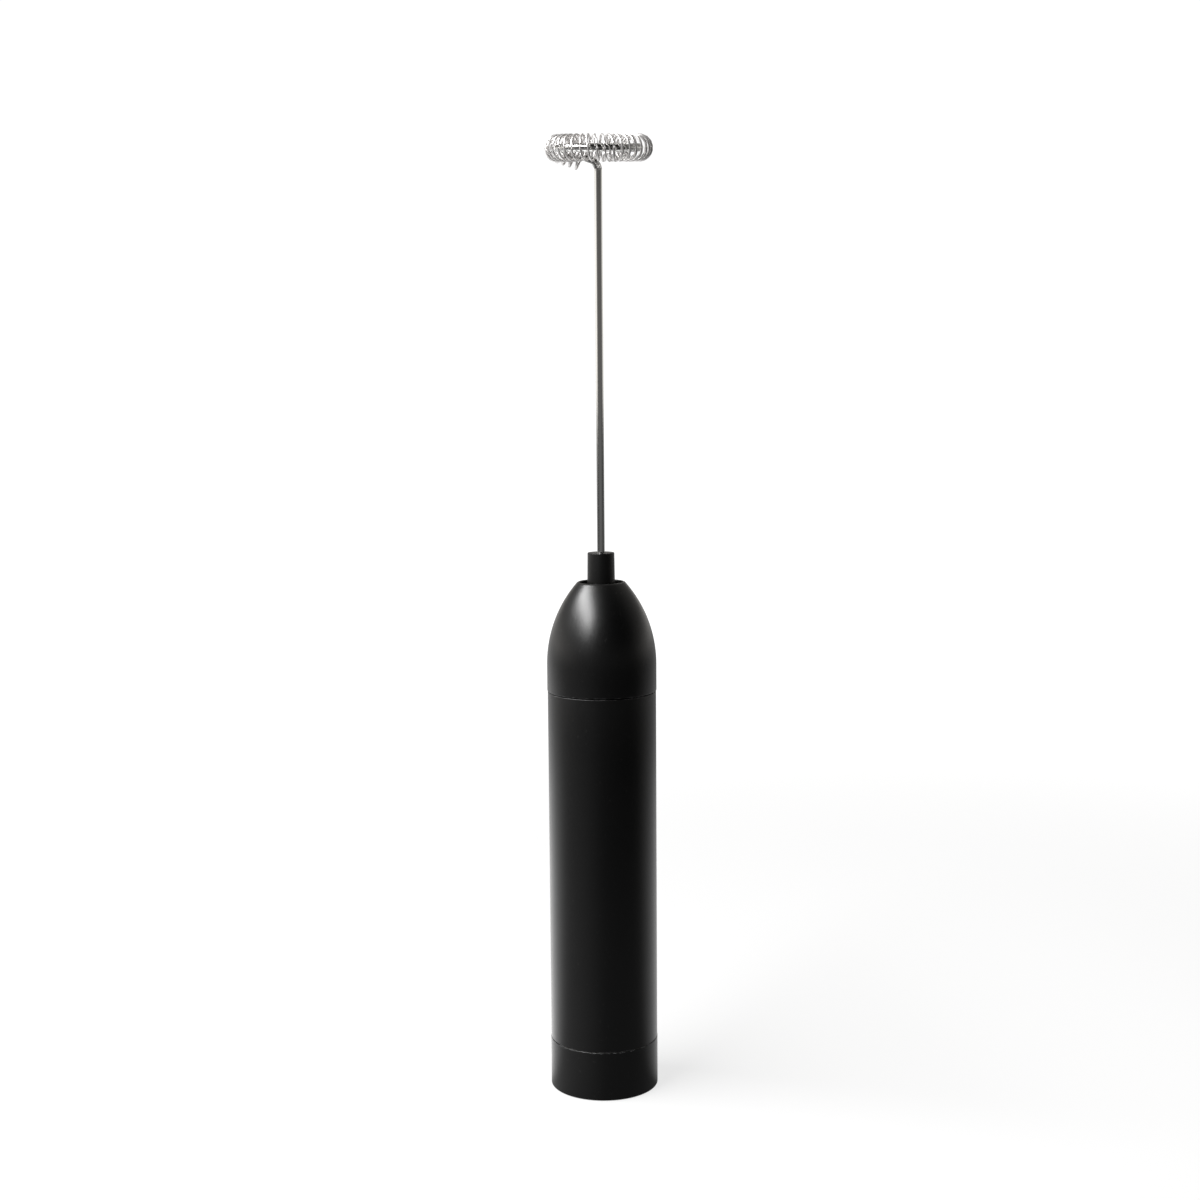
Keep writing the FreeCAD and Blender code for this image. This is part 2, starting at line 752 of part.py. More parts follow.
def build_leads():
    """Two short leads from the contact board to the motor terminals."""
    inner = float(brush_start() + dim("brush_length") + dim("terminal_thickness"))
    wire = float(dim("lead_radius"))
    top = float(end_bell_bottom - terminal_drop() / 2)
    bottom = float(board_top)
    away = inner + float(dim("lead_reach"))
    for label, sign in (("lead_left", -1), ("lead_right", 1)):
        route = [
            FreeCAD.Vector(sign * away, 0, bottom),
            FreeCAD.Vector(sign * away, 0, top),
            FreeCAD.Vector(sign * inner, 0, top),
        ]
        tracked_solid(label, pipe(route, [float(dim("lead_bend"))], wire))


def build_magnets():
    """Two arc magnets against the round walls of the can."""
    bottom = armature_bottom() - (dim("magnet_length") - dim("armature_length")) / 2
    length = dim("magnet_length")
    outer = rod("magnet_outer", dim("magnet_inner") + dim("magnet_thickness"), length, z=bottom)
    inner = rod("magnet_bore", dim("magnet_inner"), length, z=bottom)
    span = dim("magnet_inner") + dim("magnet_thickness")
    limits = block("magnet_limits", (span * 2, dim("magnet_width") * 2, length),
                   (-span, -dim("magnet_width"), bottom))
    keep(common("magnet_pair", cut("magnet_ring", outer, inner), limits), "field_magnets")


def commutator_bottom():
    """Height of the commutator's lower face."""
    return end_bell_bottom + dim("bush_length") / 2 + dim("commutator_lift")


def armature_bottom():
    """Height of the lowest lamination."""
    return can_bottom + (dim("can_length") - dim("motor_wall") - dim("armature_length")) / 2


def build_armature():
    """Three-pole stack, its windings and the three-bar commutator, all on the motor shaft."""
    bottom = armature_bottom()
    length = dim("armature_length")
    shoe_inner = dim("armature_radius") - dim("pole_shoe")
    rim = cut("pole_rim", rod("pole_outer", dim("armature_radius"), length, z=bottom),
              rod("pole_inner", shoe_inner, length, z=bottom))
    arms = [rod("pole_hub", dim("armature_hub"), length, z=bottom)]
    gaps = []
    coils = []
    coil_outer = root(shoe_inner * shoe_inner - dim("winding_width") * dim("winding_width") / 4)
    coil_end = dim("winding_head")
    clear = dim("slip_gap")
    poles = int(dim("pole_count").number)
    step = 360 / poles
    for pole in range(poles):
        turn = pole * step
        arms.append(radial_block("pole_arm_%d" % pole, 0, shoe_inner + dim("pole_shoe") / 2,
                                 dim("pole_width"), bottom, length, turn))
        gaps.append(radial_block("pole_gap_%d" % pole, shoe_inner / 2, dim("armature_radius"),
                                 dim("slot_width"), bottom, length, turn + step / 2))
        wound = radial_block("coil_block_%d" % pole, dim("armature_hub") + clear, coil_outer - clear,
                             dim("winding_width"), bottom - coil_end, length + coil_end * 2, turn)
        inside = radial_block("coil_core_%d" % pole, 0, dim("armature_radius"),
                              dim("pole_width") + clear * 2, bottom - clear, length + clear * 2, turn)
        coils.append(cut("coil_%d" % pole, wound, inside))
    stack = cut("pole_stack", fuse("pole_blank", cut("pole_shoes", rim, fuse("pole_gaps", *gaps)), *arms),
                rod("pole_bore", dim("shaft_radius"), length, z=bottom))
    keep(stack, "armature_core")
    keep(fuse("coil_set", *coils), "armature_windings")
    drum = cut("drum", rod("drum_outer", dim("commutator_radius"), dim("commutator_length"),
                           z=commutator_bottom()),
               rod("drum_bore", dim("shaft_radius"), dim("commutator_length"), z=commutator_bottom()))
    slots = []
    for bar in range(poles):
        slots.append(radial_block("drum_slot_%d" % bar, dim("commutator_root"), dim("commutator_radius") * 2,
                                  dim("commutator_slot"), commutator_bottom(), dim("commutator_length"),
                                  (bar + 0.5) * step))
    keep(cut("drum_cut", drum, fuse("drum_slots", *slots)), "commutator")
    tip = dim("shaft_tip")
    low = end_bell_bottom - dim("bush_length") / 2
    keep(turned("motor_shaft", [
        (0, low), (dim("shaft_radius") - tip, low), (dim("shaft_radius"), low + tip),
        (dim("shaft_radius"), shaft_top - tip), (dim("shaft_radius") - tip, shaft_top), (0, shaft_top),
    ]), "motor_shaft")


def radial_block(name, start, finish, width, bottom, height, turn):
    """A block that runs outwards along a radius at an angle about Z."""
    box = block(name, (as_size(finish) - start, width, height), (0, 0, 0))
    angle = math.radians(turn)
    along = FreeCAD.Vector(math.cos(angle), math.sin(angle), 0)
    across = FreeCAD.Vector(-along.y, along.x, 0)
    x = as_size(start) * along.x - as_size(width) / 2 * across.x
    y = as_size(start) * along.y - as_size(width) / 2 * across.y
    return place(box, x=x, y=y, z=bottom, axis=(0, 0, 1), angle=turn)


def build_chassis():
    """Sleeve that joins barrel and nose, grips the motor and closes over its front."""
    inner = sleeve_radius - dim("chassis_wall")
    grip = dim("motor_radius") + dim("slip_gap")
    ring_top = can_bottom + dim("chassis_ring")
    blank = turned("chassis_blank", [
        (inner, board_top),
        (sleeve_radius, board_top),
        (sleeve_radius, plate_top),
        (dim("motor_boss_radius") + dim("slip_gap"), plate_top),
        (dim("motor_boss_radius") + dim("slip_gap"), motor_front),
        (inner, motor_front),
        (inner, ring_top),
        (grip, ring_top),
        (grip, can_bottom),
        (inner, can_bottom),
    ])
    holes = []
    screws = []
    head_bottom = plate_top
    shank = dim("chassis_plate") + dim("motor_wall")
    for side, sign in (("left", -1), ("right", 1)):
        x = dim("screw_circle") * sign
        holes.append(rod("chassis_hole_" + side, dim("screw_radius"), dim("chassis_plate"),
                         x=x, z=motor_front))
        screws.append(rod("screw_shank_" + side, dim("screw_radius"), shank, x=x, z=head_bottom - shank))
        head = rod("screw_head_" + side, dim("screw_head_radius"), dim("screw_head_height"),
                   x=x, z=head_bottom)
        slot = block("screw_slot_" + side, (dim("screw_head_radius") * 2, dim("sheet_metal"),
                                            dim("screw_head_height") / 2),
                     (x - dim("screw_head_radius"), -dim("sheet_metal") / 2,
                      head_bottom + dim("screw_head_height") / 2))
        screws.append(cut("screw_slotted_" + side, head, slot))
    keep(cut("chassis_cut", blank, fuse("chassis_holes", *holes)), "motor_chassis")
    keep(fuse("screw_pair", *screws), "motor_screws")


# ---------------------------------------------------------------- coupling and whisk
def build_coupling():
    """Moulded plug that grips the motor shaft below and the whisk wire above."""
    foot = dim("coupling_foot")
    top_radius = dim("coupling_top_radius")
    bevel = dim("coupling_bevel")
    bore = dim("shaft_radius")
    grip = dim("wire_radius")
    keep(turned("drive_coupling", [
        (bore, coupling_bottom),
        (foot - bevel, coupling_bottom),
        (foot, coupling_bottom + bevel),
        (foot, mouth),
        (top_radius, coupling_top - bevel),
        (top_radius - bevel, coupling_top),
        (grip, coupling_top),
        (grip, whisk_bottom),
        (0, whisk_bottom),
        (0, shaft_top),
        (bore, shaft_top),
    ]), "drive_coupling")


def ring_point(angle, radius):
    """Point on the tilted whisk ring, by its angle about the ring's own axis."""
    tilt = FreeCAD.Rotation(FreeCAD.Vector(1, 0, 0), float(dim("ring_tilt")))
    flat = FreeCAD.Vector(radius * math.cos(angle), radius * math.sin(angle), 0)
    return FreeCAD.Vector(0, 0, float(dim("ring_height"))) + tilt.multVec(flat)


def ramp_start():
    """End of the bend at the top of the shaft, and the direction the wire leaves it in."""
    turn = math.radians(float(dim("ramp_turn")))
    bend = float(dim("shaft_bend"))
    away = FreeCAD.Vector(-math.sin(turn), 0, math.cos(turn))
    corner = ring_point(math.pi, corner_radius())
    rise = (abs(corner.x) - bend * (1 - math.cos(turn))) / math.sin(turn) * math.cos(turn)
    base = corner.z - rise - bend * math.sin(turn)
    return FreeCAD.Vector(0, 0, base + bend * math.tan(turn / 2)), away


def corner_radius():
    """Distance from the ring's axis to the corner where the ramp turns into the ring."""
    return math.hypot(float(dim("ring_radius")), float(dim("corner_run")))


def build_whisk_shaft():
    """Straight wire, bent outwards up a ramp, turned into the ring and run nearly all the way round it."""
    radius = float(dim("ring_radius"))
    run = float(dim("corner_run"))
    elbow, away = ramp_start()
    bottom = FreeCAD.Vector(0, 0, float(whisk_bottom))
    corner = ring_point(math.pi, corner_radius())
    first = math.pi + math.atan2(run, radius)
    last = first + 2 * math.pi - math.radians(float(dim("ring_opening")))
    begin = ring_point(first, radius)
    turn = math.radians(float(dim("ramp_turn")))
    bend = float(dim("shaft_bend"))
    set_back = bend * math.tan(turn / 2)
    bend_start = elbow - FreeCAD.Vector(0, 0, set_back)
    bend_end = elbow + away * set_back
    inward = (away - FreeCAD.Vector(0, 0, 1)).normalize()
    bend_middle = elbow + inward * (bend / math.cos(turn / 2) - bend)
    ramp_direction = (corner - bend_end).normalize()
    ring_direction = (begin - corner).normalize()
    corner_start = corner - ramp_direction * run
    corner_turn = ramp_direction.getAngle(ring_direction)
    corner_bend = run / math.tan(corner_turn / 2)
    fold = (ring_direction - ramp_direction).normalize()
    corner_middle = corner + fold * (corner_bend / math.cos(corner_turn / 2) - corner_bend)
    quarter = (last - first) / 4
    edges = [
        Part.LineSegment(bottom, bend_start).toShape(),
        Part.Arc(bend_start, bend_middle, bend_end).toShape(),
        Part.LineSegment(bend_end, corner_start).toShape(),
        Part.Arc(corner_start, corner_middle, begin).toShape(),
        Part.Arc(begin, ring_point(first + quarter, radius),
                 ring_point(first + 2 * quarter, radius)).toShape(),
        Part.Arc(ring_point(first + 2 * quarter, radius), ring_point(first + 3 * quarter, radius),
                 ring_point(last, radius)).toShape(),
    ]
    path = Part.Wire(edges)
    wire = sweep_round(path, bottom, FreeCAD.Vector(0, 0, 1), float(dim("wire_radius")))
    tracked_solid("whisk_shaft", wire)


def coil_turn(centre, direction, slant):
    """One turn of the whisk's spring: a wire circle round the ring wire."""
    normal = FreeCAD.Rotation(FreeCAD.Vector(0, 0, 1), slant).multVec(direction)
    return Part.makeTorus(float(dim("coil_radius")), float(dim("coil_wire")), centre, normal)


def build_whisk_coil():
    """The spring's turns: most of them round the ring, the first few on the ramp below it."""
    radius = float(dim("ring_radius"))
    count = int(round(float(dim("coil_turns"))))
    slant = float(dim("coil_slant"))
    away = ramp_start()[1]
    turns = []
    for index in range(int(round(float(dim("ramp_turns"))))):
        back = float(dim("ramp_gap") + dim("ramp_pitch") * index)
        turns.append(coil_turn(ring_point(math.pi, corner_radius()) - away * back, away, slant))
    lean = float(dim("coil_radius")) * math.sin(math.radians(slant))
    clear = float(dim("wire_radius") + dim("coil_wire") + dim("free_gap")) + lean
    margin = math.atan2(clear, float(dim("ring_radius") - dim("coil_radius")))
    for index in range(count):
        angle = math.pi + margin + 2 * (math.pi - margin) * index / (count - 1)
        ahead = ring_point(angle + math.pi / 2, radius) - ring_point(angle - math.pi / 2, radius)
        turns.append(coil_turn(ring_point(angle, radius), ahead, slant))
    tracked_solid("whisk_coil", Part.makeCompound(turns))


build_barrel()
build_nose()
build_collar()
build_tail_cap()
build_switch()
build_carrier()
build_cell("battery_cell_left", -1, False)
build_cell("battery_cell_right", 1, True)
build_contacts()
build_board()
build_motor_case()
build_brush_gear()
build_leads()
build_magnets()
build_armature()
build_chassis()
build_coupling()
build_whisk_shaft()
build_whisk_coil()
doc.recompute()

# ---------------------------------------------------------------- checks, then the files
for item in doc.Objects:
    if "Invalid" in item.State or "Error" in item.State:
        raise RuntimeError("%s failed: %s" % (item.Label, item.State))
for label, item in sub_parts.items():
    if item.Shape.isNull() or not item.Shape.isValid() or not item.Shape.Solids:
        raise RuntimeError("%s has no valid solid" % label)

os.makedirs("parts", exist_ok=True)
for label, item in sub_parts.items():
    item.Shape.exportStep("parts/%s.step" % label)
    print("%-22s %2d solid(s) %9.1f mm3" % (label, len(item.Shape.Solids), item.Shape.Volume))
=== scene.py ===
"""Looks of a battery milk frother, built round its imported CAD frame. Lengths are metres."""

import logging
import math
from dataclasses import dataclass, field
from enum import Enum

import bpy
import bmesh
from mathutils import Matrix, Vector


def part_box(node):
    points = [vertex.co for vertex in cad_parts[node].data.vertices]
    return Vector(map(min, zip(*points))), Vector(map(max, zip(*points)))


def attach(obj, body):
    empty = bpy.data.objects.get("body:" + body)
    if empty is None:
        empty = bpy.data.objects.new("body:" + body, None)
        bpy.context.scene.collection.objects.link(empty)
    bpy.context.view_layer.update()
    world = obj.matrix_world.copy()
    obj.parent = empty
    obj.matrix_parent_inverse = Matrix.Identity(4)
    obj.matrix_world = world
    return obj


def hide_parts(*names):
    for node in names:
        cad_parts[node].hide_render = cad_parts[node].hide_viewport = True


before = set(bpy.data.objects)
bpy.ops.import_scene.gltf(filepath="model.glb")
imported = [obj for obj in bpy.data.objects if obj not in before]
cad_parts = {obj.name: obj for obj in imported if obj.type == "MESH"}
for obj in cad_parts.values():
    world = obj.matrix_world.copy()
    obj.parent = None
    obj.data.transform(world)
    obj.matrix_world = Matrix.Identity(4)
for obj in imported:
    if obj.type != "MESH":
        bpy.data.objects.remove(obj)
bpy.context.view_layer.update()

log = logging.getLogger("frother")
MM = 0.001
Colour = tuple[float, float, float]
DUST_COLOUR: Colour = (0.35, 0.34, 0.32)
BUMP_DISTANCE = 0.00005
Profile = list[tuple[float, float]]


# ------------------------------------------------------------------ small node helpers
class NodeBench:
    """Short words for making and joining nodes in one tree."""

    def __init__(self, tree: bpy.types.NodeTree) -> None:
        """Take the tree that the nodes go into.

        Args:
            tree: a shader or geometry node tree.
        """
        self.tree = tree

    def add(self, kind: str, **settings: object) -> bpy.types.Node:
        """Add a node and set its plain properties.

        Args:
            kind: the node's type name.
            settings: property names and values.

        Returns:
            The new node.
        """
        node = self.tree.nodes.new(kind)
        for name, value in settings.items():
            setattr(node, name, value)
        return node

    def join(self, source: bpy.types.NodeSocket, target: bpy.types.NodeSocket) -> None:
        """Join an output to an input."""
        self.tree.links.new(source, target)

    def math(self, operation: str, first: object, second: object = 0.0,
             clamp: bool = False) -> bpy.types.NodeSocket:
        """Add a Math node; each operand is a socket or a number.

        Args:
            operation: the node's operation, such as MULTIPLY.
            first: first operand.
            second: second operand.
            clamp: hold the result between 0 and 1.

        Returns:
            The node's output socket.
        """
        node = self.add("ShaderNodeMath", operation=operation, use_clamp=clamp)
        for socket, value in zip(node.inputs, (first, second)):
            if isinstance(value, bpy.types.NodeSocket):
                self.join(value, socket)
            else:
                socket.default_value = value
        return node.outputs[0]

    def spread(self, value: bpy.types.NodeSocket, low: float, high: float) -> bpy.types.NodeSocket:
        """Map a 0 to 1 value onto low to high.

        Args:
            value: the socket to map.
            low: result at 0.
            high: result at 1.

        Returns:
            The mapped value.
        """
        node = self.add("ShaderNodeMapRange")
        self.join(value, node.inputs["Value"])
        node.inputs["To Min"].default_value = low
        node.inputs["To Max"].default_value = high
        return node.outputs["Result"]

    def blend(self, mask: bpy.types.NodeSocket, base: object, worn: Colour) -> bpy.types.NodeSocket:
        """Mix two colours by a mask.

        Args:
            mask: 0 for base, 1 for worn.
            base: the colour at 0, or the socket that gives it.
            worn: the colour at 1.

        Returns:
            The mixed colour.
        """
        node = self.add("ShaderNodeMix", data_type="RGBA")
        self.join(mask, node.inputs["Factor"])
        if isinstance(base, bpy.types.NodeSocket):
            self.join(base, node.inputs["A"])
        else:
            node.inputs["A"].default_value = (*base, 1.0)
        node.inputs["B"].default_value = (*worn, 1.0)
        return node.outputs["Result"]


class EffectName(Enum):
    """The shared surface effects, each one a shader node group."""

    GRAIN = "fine_grain"
    EDGE_WEAR = "edge_wear"
    DUST = "settled_dust"
    DRAWN_LINES = "drawn_lines"


class EffectShelf:
    """Builds each shared effect group once and hands it out."""

    def __init__(self) -> None:
        """Start with an empty shelf."""
        self.groups: dict[EffectName, bpy.types.NodeTree] = {}

    def group(self, effect: EffectName) -> bpy.types.NodeTree:
        """Fetch an effect's group, building it the first time.

        Args:
            effect: which effect.

        Returns:
            The shader node group.
        """
        if effect not in self.groups:
            makers = {
                EffectName.GRAIN: self.make_grain,
                EffectName.EDGE_WEAR: self.make_edge_wear,
                EffectName.DUST: self.make_dust,
                EffectName.DRAWN_LINES: self.make_drawn_lines,
            }
            self.groups[effect] = makers[effect]()
        return self.groups[effect]

    def start(self, effect: EffectName, inputs: dict[str, float], outputs: list[str]) -> tuple:
        """Open a group with named value inputs and outputs.

        Args:
            effect: whose group it is.
            inputs: names and default values.
            outputs: names of the values put out.

        Returns:
            The group, its bench, its input node, its output node and the object coordinates.
        """
        tree = bpy.data.node_groups.new(effect.value, "ShaderNodeTree")
        for name, value in inputs.items():
            socket = tree.interface.new_socket(name, in_out="INPUT", socket_type="NodeSocketFloat")
            socket.default_value = value
        for name in outputs:
            tree.interface.new_socket(name, in_out="OUTPUT", socket_type="NodeSocketFloat")
        bench = NodeBench(tree)
        entry = bench.add("NodeGroupInput")
        exit_node = bench.add("NodeGroupOutput")
        place = bench.add("ShaderNodeTexCoord").outputs["Object"]
        return tree, bench, entry, exit_node, place

    def make_grain(self) -> bpy.types.NodeTree:
        """Fine blasted grain over slow cloudy variation."""
        tree, bench, entry, leave, place = self.start(
            EffectName.GRAIN, {"Scale": 4000.0, "Cloud Scale": 60.0}, ["Height", "Cloud"])
        fine = bench.add("ShaderNodeTexNoise")
        cloud = bench.add("ShaderNodeTexNoise")
        for node, name in ((fine, "Scale"), (cloud, "Cloud Scale")):
            bench.join(place, node.inputs["Vector"])
            bench.join(entry.outputs[name], node.inputs["Scale"])
        fine.inputs["Detail"].default_value = 3.0
        cloud.inputs["Detail"].default_value = 4.0
        bench.join(fine.outputs["Fac"], leave.inputs["Height"])
        bench.join(cloud.outputs["Fac"], leave.inputs["Cloud"])
        return tree

    def make_edge_wear(self) -> bpy.types.NodeTree:
        """Broken-up mask of the convex edges, from a bevelled normal against the true one."""
        tree, bench, entry, leave, place = self.start(
            EffectName.EDGE_WEAR, {"Radius": 0.0004, "Scale": 900.0, "Amount": 1.0}, ["Wear"])
        bevel = bench.add("ShaderNodeBevel", samples=4)
        bench.join(entry.outputs["Radius"], bevel.inputs["Radius"])
        shape = bench.add("ShaderNodeNewGeometry")
        match = bench.add("ShaderNodeVectorMath", operation="DOT_PRODUCT")
        bench.join(bevel.outputs["Normal"], match.inputs[0])
        bench.join(shape.outputs["Normal"], match.inputs[1])
        edge = bench.math("MULTIPLY", bench.math("SUBTRACT", 1.0, match.outputs["Value"]), 12.0, clamp=True)
        noise = bench.add("ShaderNodeTexNoise")
        bench.join(place, noise.inputs["Vector"])
        bench.join(entry.outputs["Scale"], noise.inputs["Scale"])
        noise.inputs["Detail"].default_value = 5.0
        patchy = bench.math("SUBTRACT", noise.outputs["Fac"], 0.42, clamp=True)
        broken = bench.math("MULTIPLY", bench.math("MULTIPLY", edge, patchy), 4.0, clamp=True)
        bench.join(bench.math("MULTIPLY", broken, entry.outputs["Amount"]), leave.inputs["Wear"])
        return tree

    def make_dust(self) -> bpy.types.NodeTree:
        """Sparse specks, thicker on faces that look up."""
        tree, bench, entry, leave, place = self.start(
            EffectName.DUST, {"Scale": 1400.0, "Amount": 1.0}, ["Dust"])
        noise = bench.add("ShaderNodeTexNoise")
        bench.join(place, noise.inputs["Vector"])
        bench.join(entry.outputs["Scale"], noise.inputs["Scale"])
        noise.inputs["Detail"].default_value = 6.0
        peaks = bench.math("SUBTRACT", noise.outputs["Fac"], 0.66, clamp=True)
        speck = bench.math("MULTIPLY", peaks, 9.0, clamp=True)
        facing = bench.add("ShaderNodeSeparateXYZ")
        bench.join(bench.add("ShaderNodeNewGeometry").outputs["Normal"], facing.inputs[0])
        lying = bench.spread(facing.outputs["Z"], 0.25, 1.0)
        bench.join(bench.math("MULTIPLY", bench.math("MULTIPLY", speck, lying), entry.outputs["Amount"]),
                   leave.inputs["Dust"])
        return tree

    def make_drawn_lines(self) -> bpy.types.NodeTree:
        """Lines left by drawing or brushing, long along Z and short around it."""
        tree, bench, entry, leave, place = self.start(
            EffectName.DRAWN_LINES, {"Scale": 3000.0, "Stretch": 0.03}, ["Lines"])
        parts = bench.add("ShaderNodeSeparateXYZ")
        bench.join(place, parts.inputs[0])
        squeezed = bench.add("ShaderNodeCombineXYZ")
        bench.join(parts.outputs["X"], squeezed.inputs["X"])
        bench.join(parts.outputs["Y"], squeezed.inputs["Y"])
        shrunk = bench.math("MULTIPLY", parts.outputs["Z"], entry.outputs["Stretch"])
        bench.join(shrunk, squeezed.inputs["Z"])
        noise = bench.add("ShaderNodeTexNoise")
        bench.join(squeezed.outputs[0], noise.inputs["Vector"])
        bench.join(entry.outputs["Scale"], noise.inputs["Scale"])
        noise.inputs["Detail"].default_value = 4.0
        bench.join(noise.outputs["Fac"], leave.inputs["Lines"])
        return tree


SHELF = EffectShelf()


# ------------------------------------------------------------------ finishes
@dataclass(frozen=True)
class Finish:
    """One material, with the strength of each shared effect on it."""

    name: str
    colour: Colour
    varied: Colour
    metallic: float = 0.0
    roughness: tuple[float, float] = (0.35, 0.5)
    grain_scale: float = 4000.0
    cloud_scale: float = 60.0
    grain_height: float = 0.15
    worn: Colour = (0.3, 0.3, 0.3)
    wear: float = 0.0
    wear_radius: float = 0.0004
    dust: float = 0.0
    lines: float = 0.0
    line_scale: float = 3000.0
    coat: float = 0.0
    specular: float = 0.5

    def placed(self, bench: NodeBench, effect: EffectName, values: dict[str, float]) -> bpy.types.Node:
        """Put an effect group into the material with its own values.

        Args:
            bench: the material's bench.
            effect: which effect.
            values: the group's input values.

        Returns:
            The group node.
        """
        node = bench.add("ShaderNodeGroup")
        node.node_tree = SHELF.group(effect)
        for name, value in values.items():
            node.inputs[name].default_value = value
        return node

    def build(self) -> bpy.types.Material:
        """Make the material, or fetch it if it is made already.

        Returns:
            The Blender material.
        """
        found = bpy.data.materials.get(self.name)
        if found:
            return found
        material = bpy.data.materials.new(self.name)
        material.use_nodes = True
        bench = NodeBench(material.node_tree)
        shader = material.node_tree.nodes["Principled BSDF"]
        shader.inputs["Coat Weight"].default_value = self.coat
        shader.inputs["Coat Roughness"].default_value = 0.2
        shader.inputs["Specular IOR Level"].default_value = self.specular
        grain = self.placed(bench, EffectName.GRAIN,
                            {"Scale": self.grain_scale, "Cloud Scale": self.cloud_scale})
        colour = bench.blend(grain.outputs["Cloud"], self.colour, self.varied)
        rough = bench.spread(grain.outputs["Cloud"], *self.roughness)
        height = grain.outputs["Height"]
        metal: object = None
        if self.lines:
            lines = self.placed(bench, EffectName.DRAWN_LINES, {"Scale": self.line_scale})
            streaks = bench.math("MULTIPLY", lines.outputs["Lines"], self.lines * 0.2)
            rough = bench.math("ADD", rough, streaks)
            height = bench.math("ADD", height, bench.math("MULTIPLY", lines.outputs["Lines"], self.lines))
        if self.wear:
            wear = self.placed(bench, EffectName.EDGE_WEAR,
                               {"Radius": self.wear_radius, "Amount": self.wear})
            colour = bench.blend(wear.outputs["Wear"], colour, self.worn)
            metal = bench.spread(wear.outputs["Wear"], self.metallic, max(self.metallic, 0.9))
        if self.dust:
            dust = self.placed(bench, EffectName.DUST, {"Amount": self.dust})
            colour = bench.blend(dust.outputs["Dust"], colour, DUST_COLOUR)
            rough = bench.math("ADD", rough, bench.math("MULTIPLY", dust.outputs["Dust"], 0.3), clamp=True)
        bench.join(colour, shader.inputs["Base Color"])
        bench.join(rough, shader.inputs["Roughness"])
        if metal is None:
            shader.inputs["Metallic"].default_value = self.metallic
        else:
            bench.join(metal, shader.inputs["Metallic"])
        bump = bench.add("ShaderNodeBump")
        bump.inputs["Strength"].default_value = self.grain_height
        bump.inputs["Distance"].default_value = BUMP_DISTANCE
        bench.join(height, bump.inputs["Height"])
        bench.join(bump.outputs["Normal"], shader.inputs["Normal"])
        return material


SATIN_BLACK = Finish("satin_black_coat", (0.0008, 0.0008, 0.0009), (0.0016, 0.0016, 0.0017),
                     roughness=(0.29, 0.36), grain_scale=7000.0, cloud_scale=45.0, grain_height=0.3,
                     worn=(0.55, 0.55, 0.56), wear=0.5, wear_radius=0.00022, dust=0.12, specular=0.5)
BARE_EDGE = Finish("bare_turned_edge", (0.3, 0.3, 0.29), (0.16, 0.16, 0.15), metallic=1.0,
                   roughness=(0.3, 0.42), lines=0.3)
COUPLING_PLASTIC = Finish("coupling_plastic", (0.002, 0.002, 0.0021), (0.004, 0.004, 0.004),
                          roughness=(0.32, 0.42), grain_height=0.3, wear=0.3,
                          worn=(0.12, 0.12, 0.12), dust=0.1, specular=0.35)
INNER_PLASTIC = Finish("inner_plastic", (0.02, 0.02, 0.021), (0.035, 0.035, 0.036),
                       roughness=(0.4, 0.6), grain_height=0.3)
RUBBER = Finish("button_silicone", (0.018, 0.018, 0.019), (0.03, 0.03, 0.03),
                roughness=(0.6, 0.8), grain_height=0.5, dust=0.3, specular=0.3)
SEAL = Finish("seal_nitrile", (0.002, 0.002, 0.002), (0.004, 0.004, 0.004),
              roughness=(0.5, 0.65), specular=0.15)
BRIGHT_WIRE = Finish("stainless_wire", (0.82, 0.79, 0.76), (0.7, 0.67, 0.64), metallic=0.9,
                     roughness=(0.18, 0.28), grain_scale=6000.0, grain_height=0.08,
                     lines=0.5, line_scale=5000.0)
COIL_WIRE = Finish("polished_coil_wire", (0.8, 0.785, 0.775), (0.72, 0.7, 0.69), metallic=0.72,
                   roughness=(0.32, 0.38), grain_scale=3000.0, grain_height=0.03, specular=0.8)
SPRING_STEEL = Finish("spring_steel", (0.5, 0.5, 0.5), (0.4, 0.39, 0.38), metallic=1.0,
                      roughness=(0.2, 0.35), lines=0.3)
BRASS = Finish("contact_brass", (0.72, 0.53, 0.2), (0.58, 0.4, 0.14), metallic=1.0,
               roughness=(0.25, 0.4), wear=0.4, worn=(0.85, 0.7, 0.4))
BOARD = Finish("board_laminate", (0.02, 0.12, 0.05), (0.03, 0.16, 0.07), roughness=(0.3, 0.45), coat=0.3)
CELL = Finish("cell_sleeve", (0.05, 0.07, 0.11), (0.07, 0.09, 0.13), metallic=0.3,
              roughness=(0.25, 0.4), wear=0.5, worn=(0.6, 0.6, 0.58))
MOTOR_STEEL = Finish("plated_can", (0.56, 0.56, 0.57), (0.46, 0.46, 0.48), metallic=1.0,
                     roughness=(0.25, 0.42), lines=0.4, wear=0.3, worn=(0.8, 0.8, 0.8))
FERRITE = Finish("ferrite", (0.05, 0.05, 0.055), (0.09, 0.09, 0.09), roughness=(0.5, 0.7), grain_height=0.6)
STACK = Finish("lamination_stack", (0.28, 0.28, 0.3), (0.2, 0.19, 0.19), metallic=0.8, roughness=(0.35, 0.5),
               lines=0.6)
COPPER = Finish("enamelled_copper", (0.55, 0.2, 0.08), (0.42, 0.14, 0.05), metallic=0.9,
                roughness=(0.25, 0.4), coat=0.5, lines=0.8)
NYLON = Finish("motor_nylon", (0.72, 0.7, 0.64), (0.62, 0.6, 0.54), roughness=(0.4, 0.55), grain_height=0.3)
BRONZE = Finish("sintered_bronze", (0.42, 0.26, 0.12), (0.3, 0.18, 0.08), metallic=0.9,
                roughness=(0.45, 0.65), grain_height=0.8)
CARBON = Finish("brush_carbon", (0.03, 0.03, 0.032), (0.06, 0.06, 0.06),
                roughness=(0.5, 0.7), grain_height=0.6)
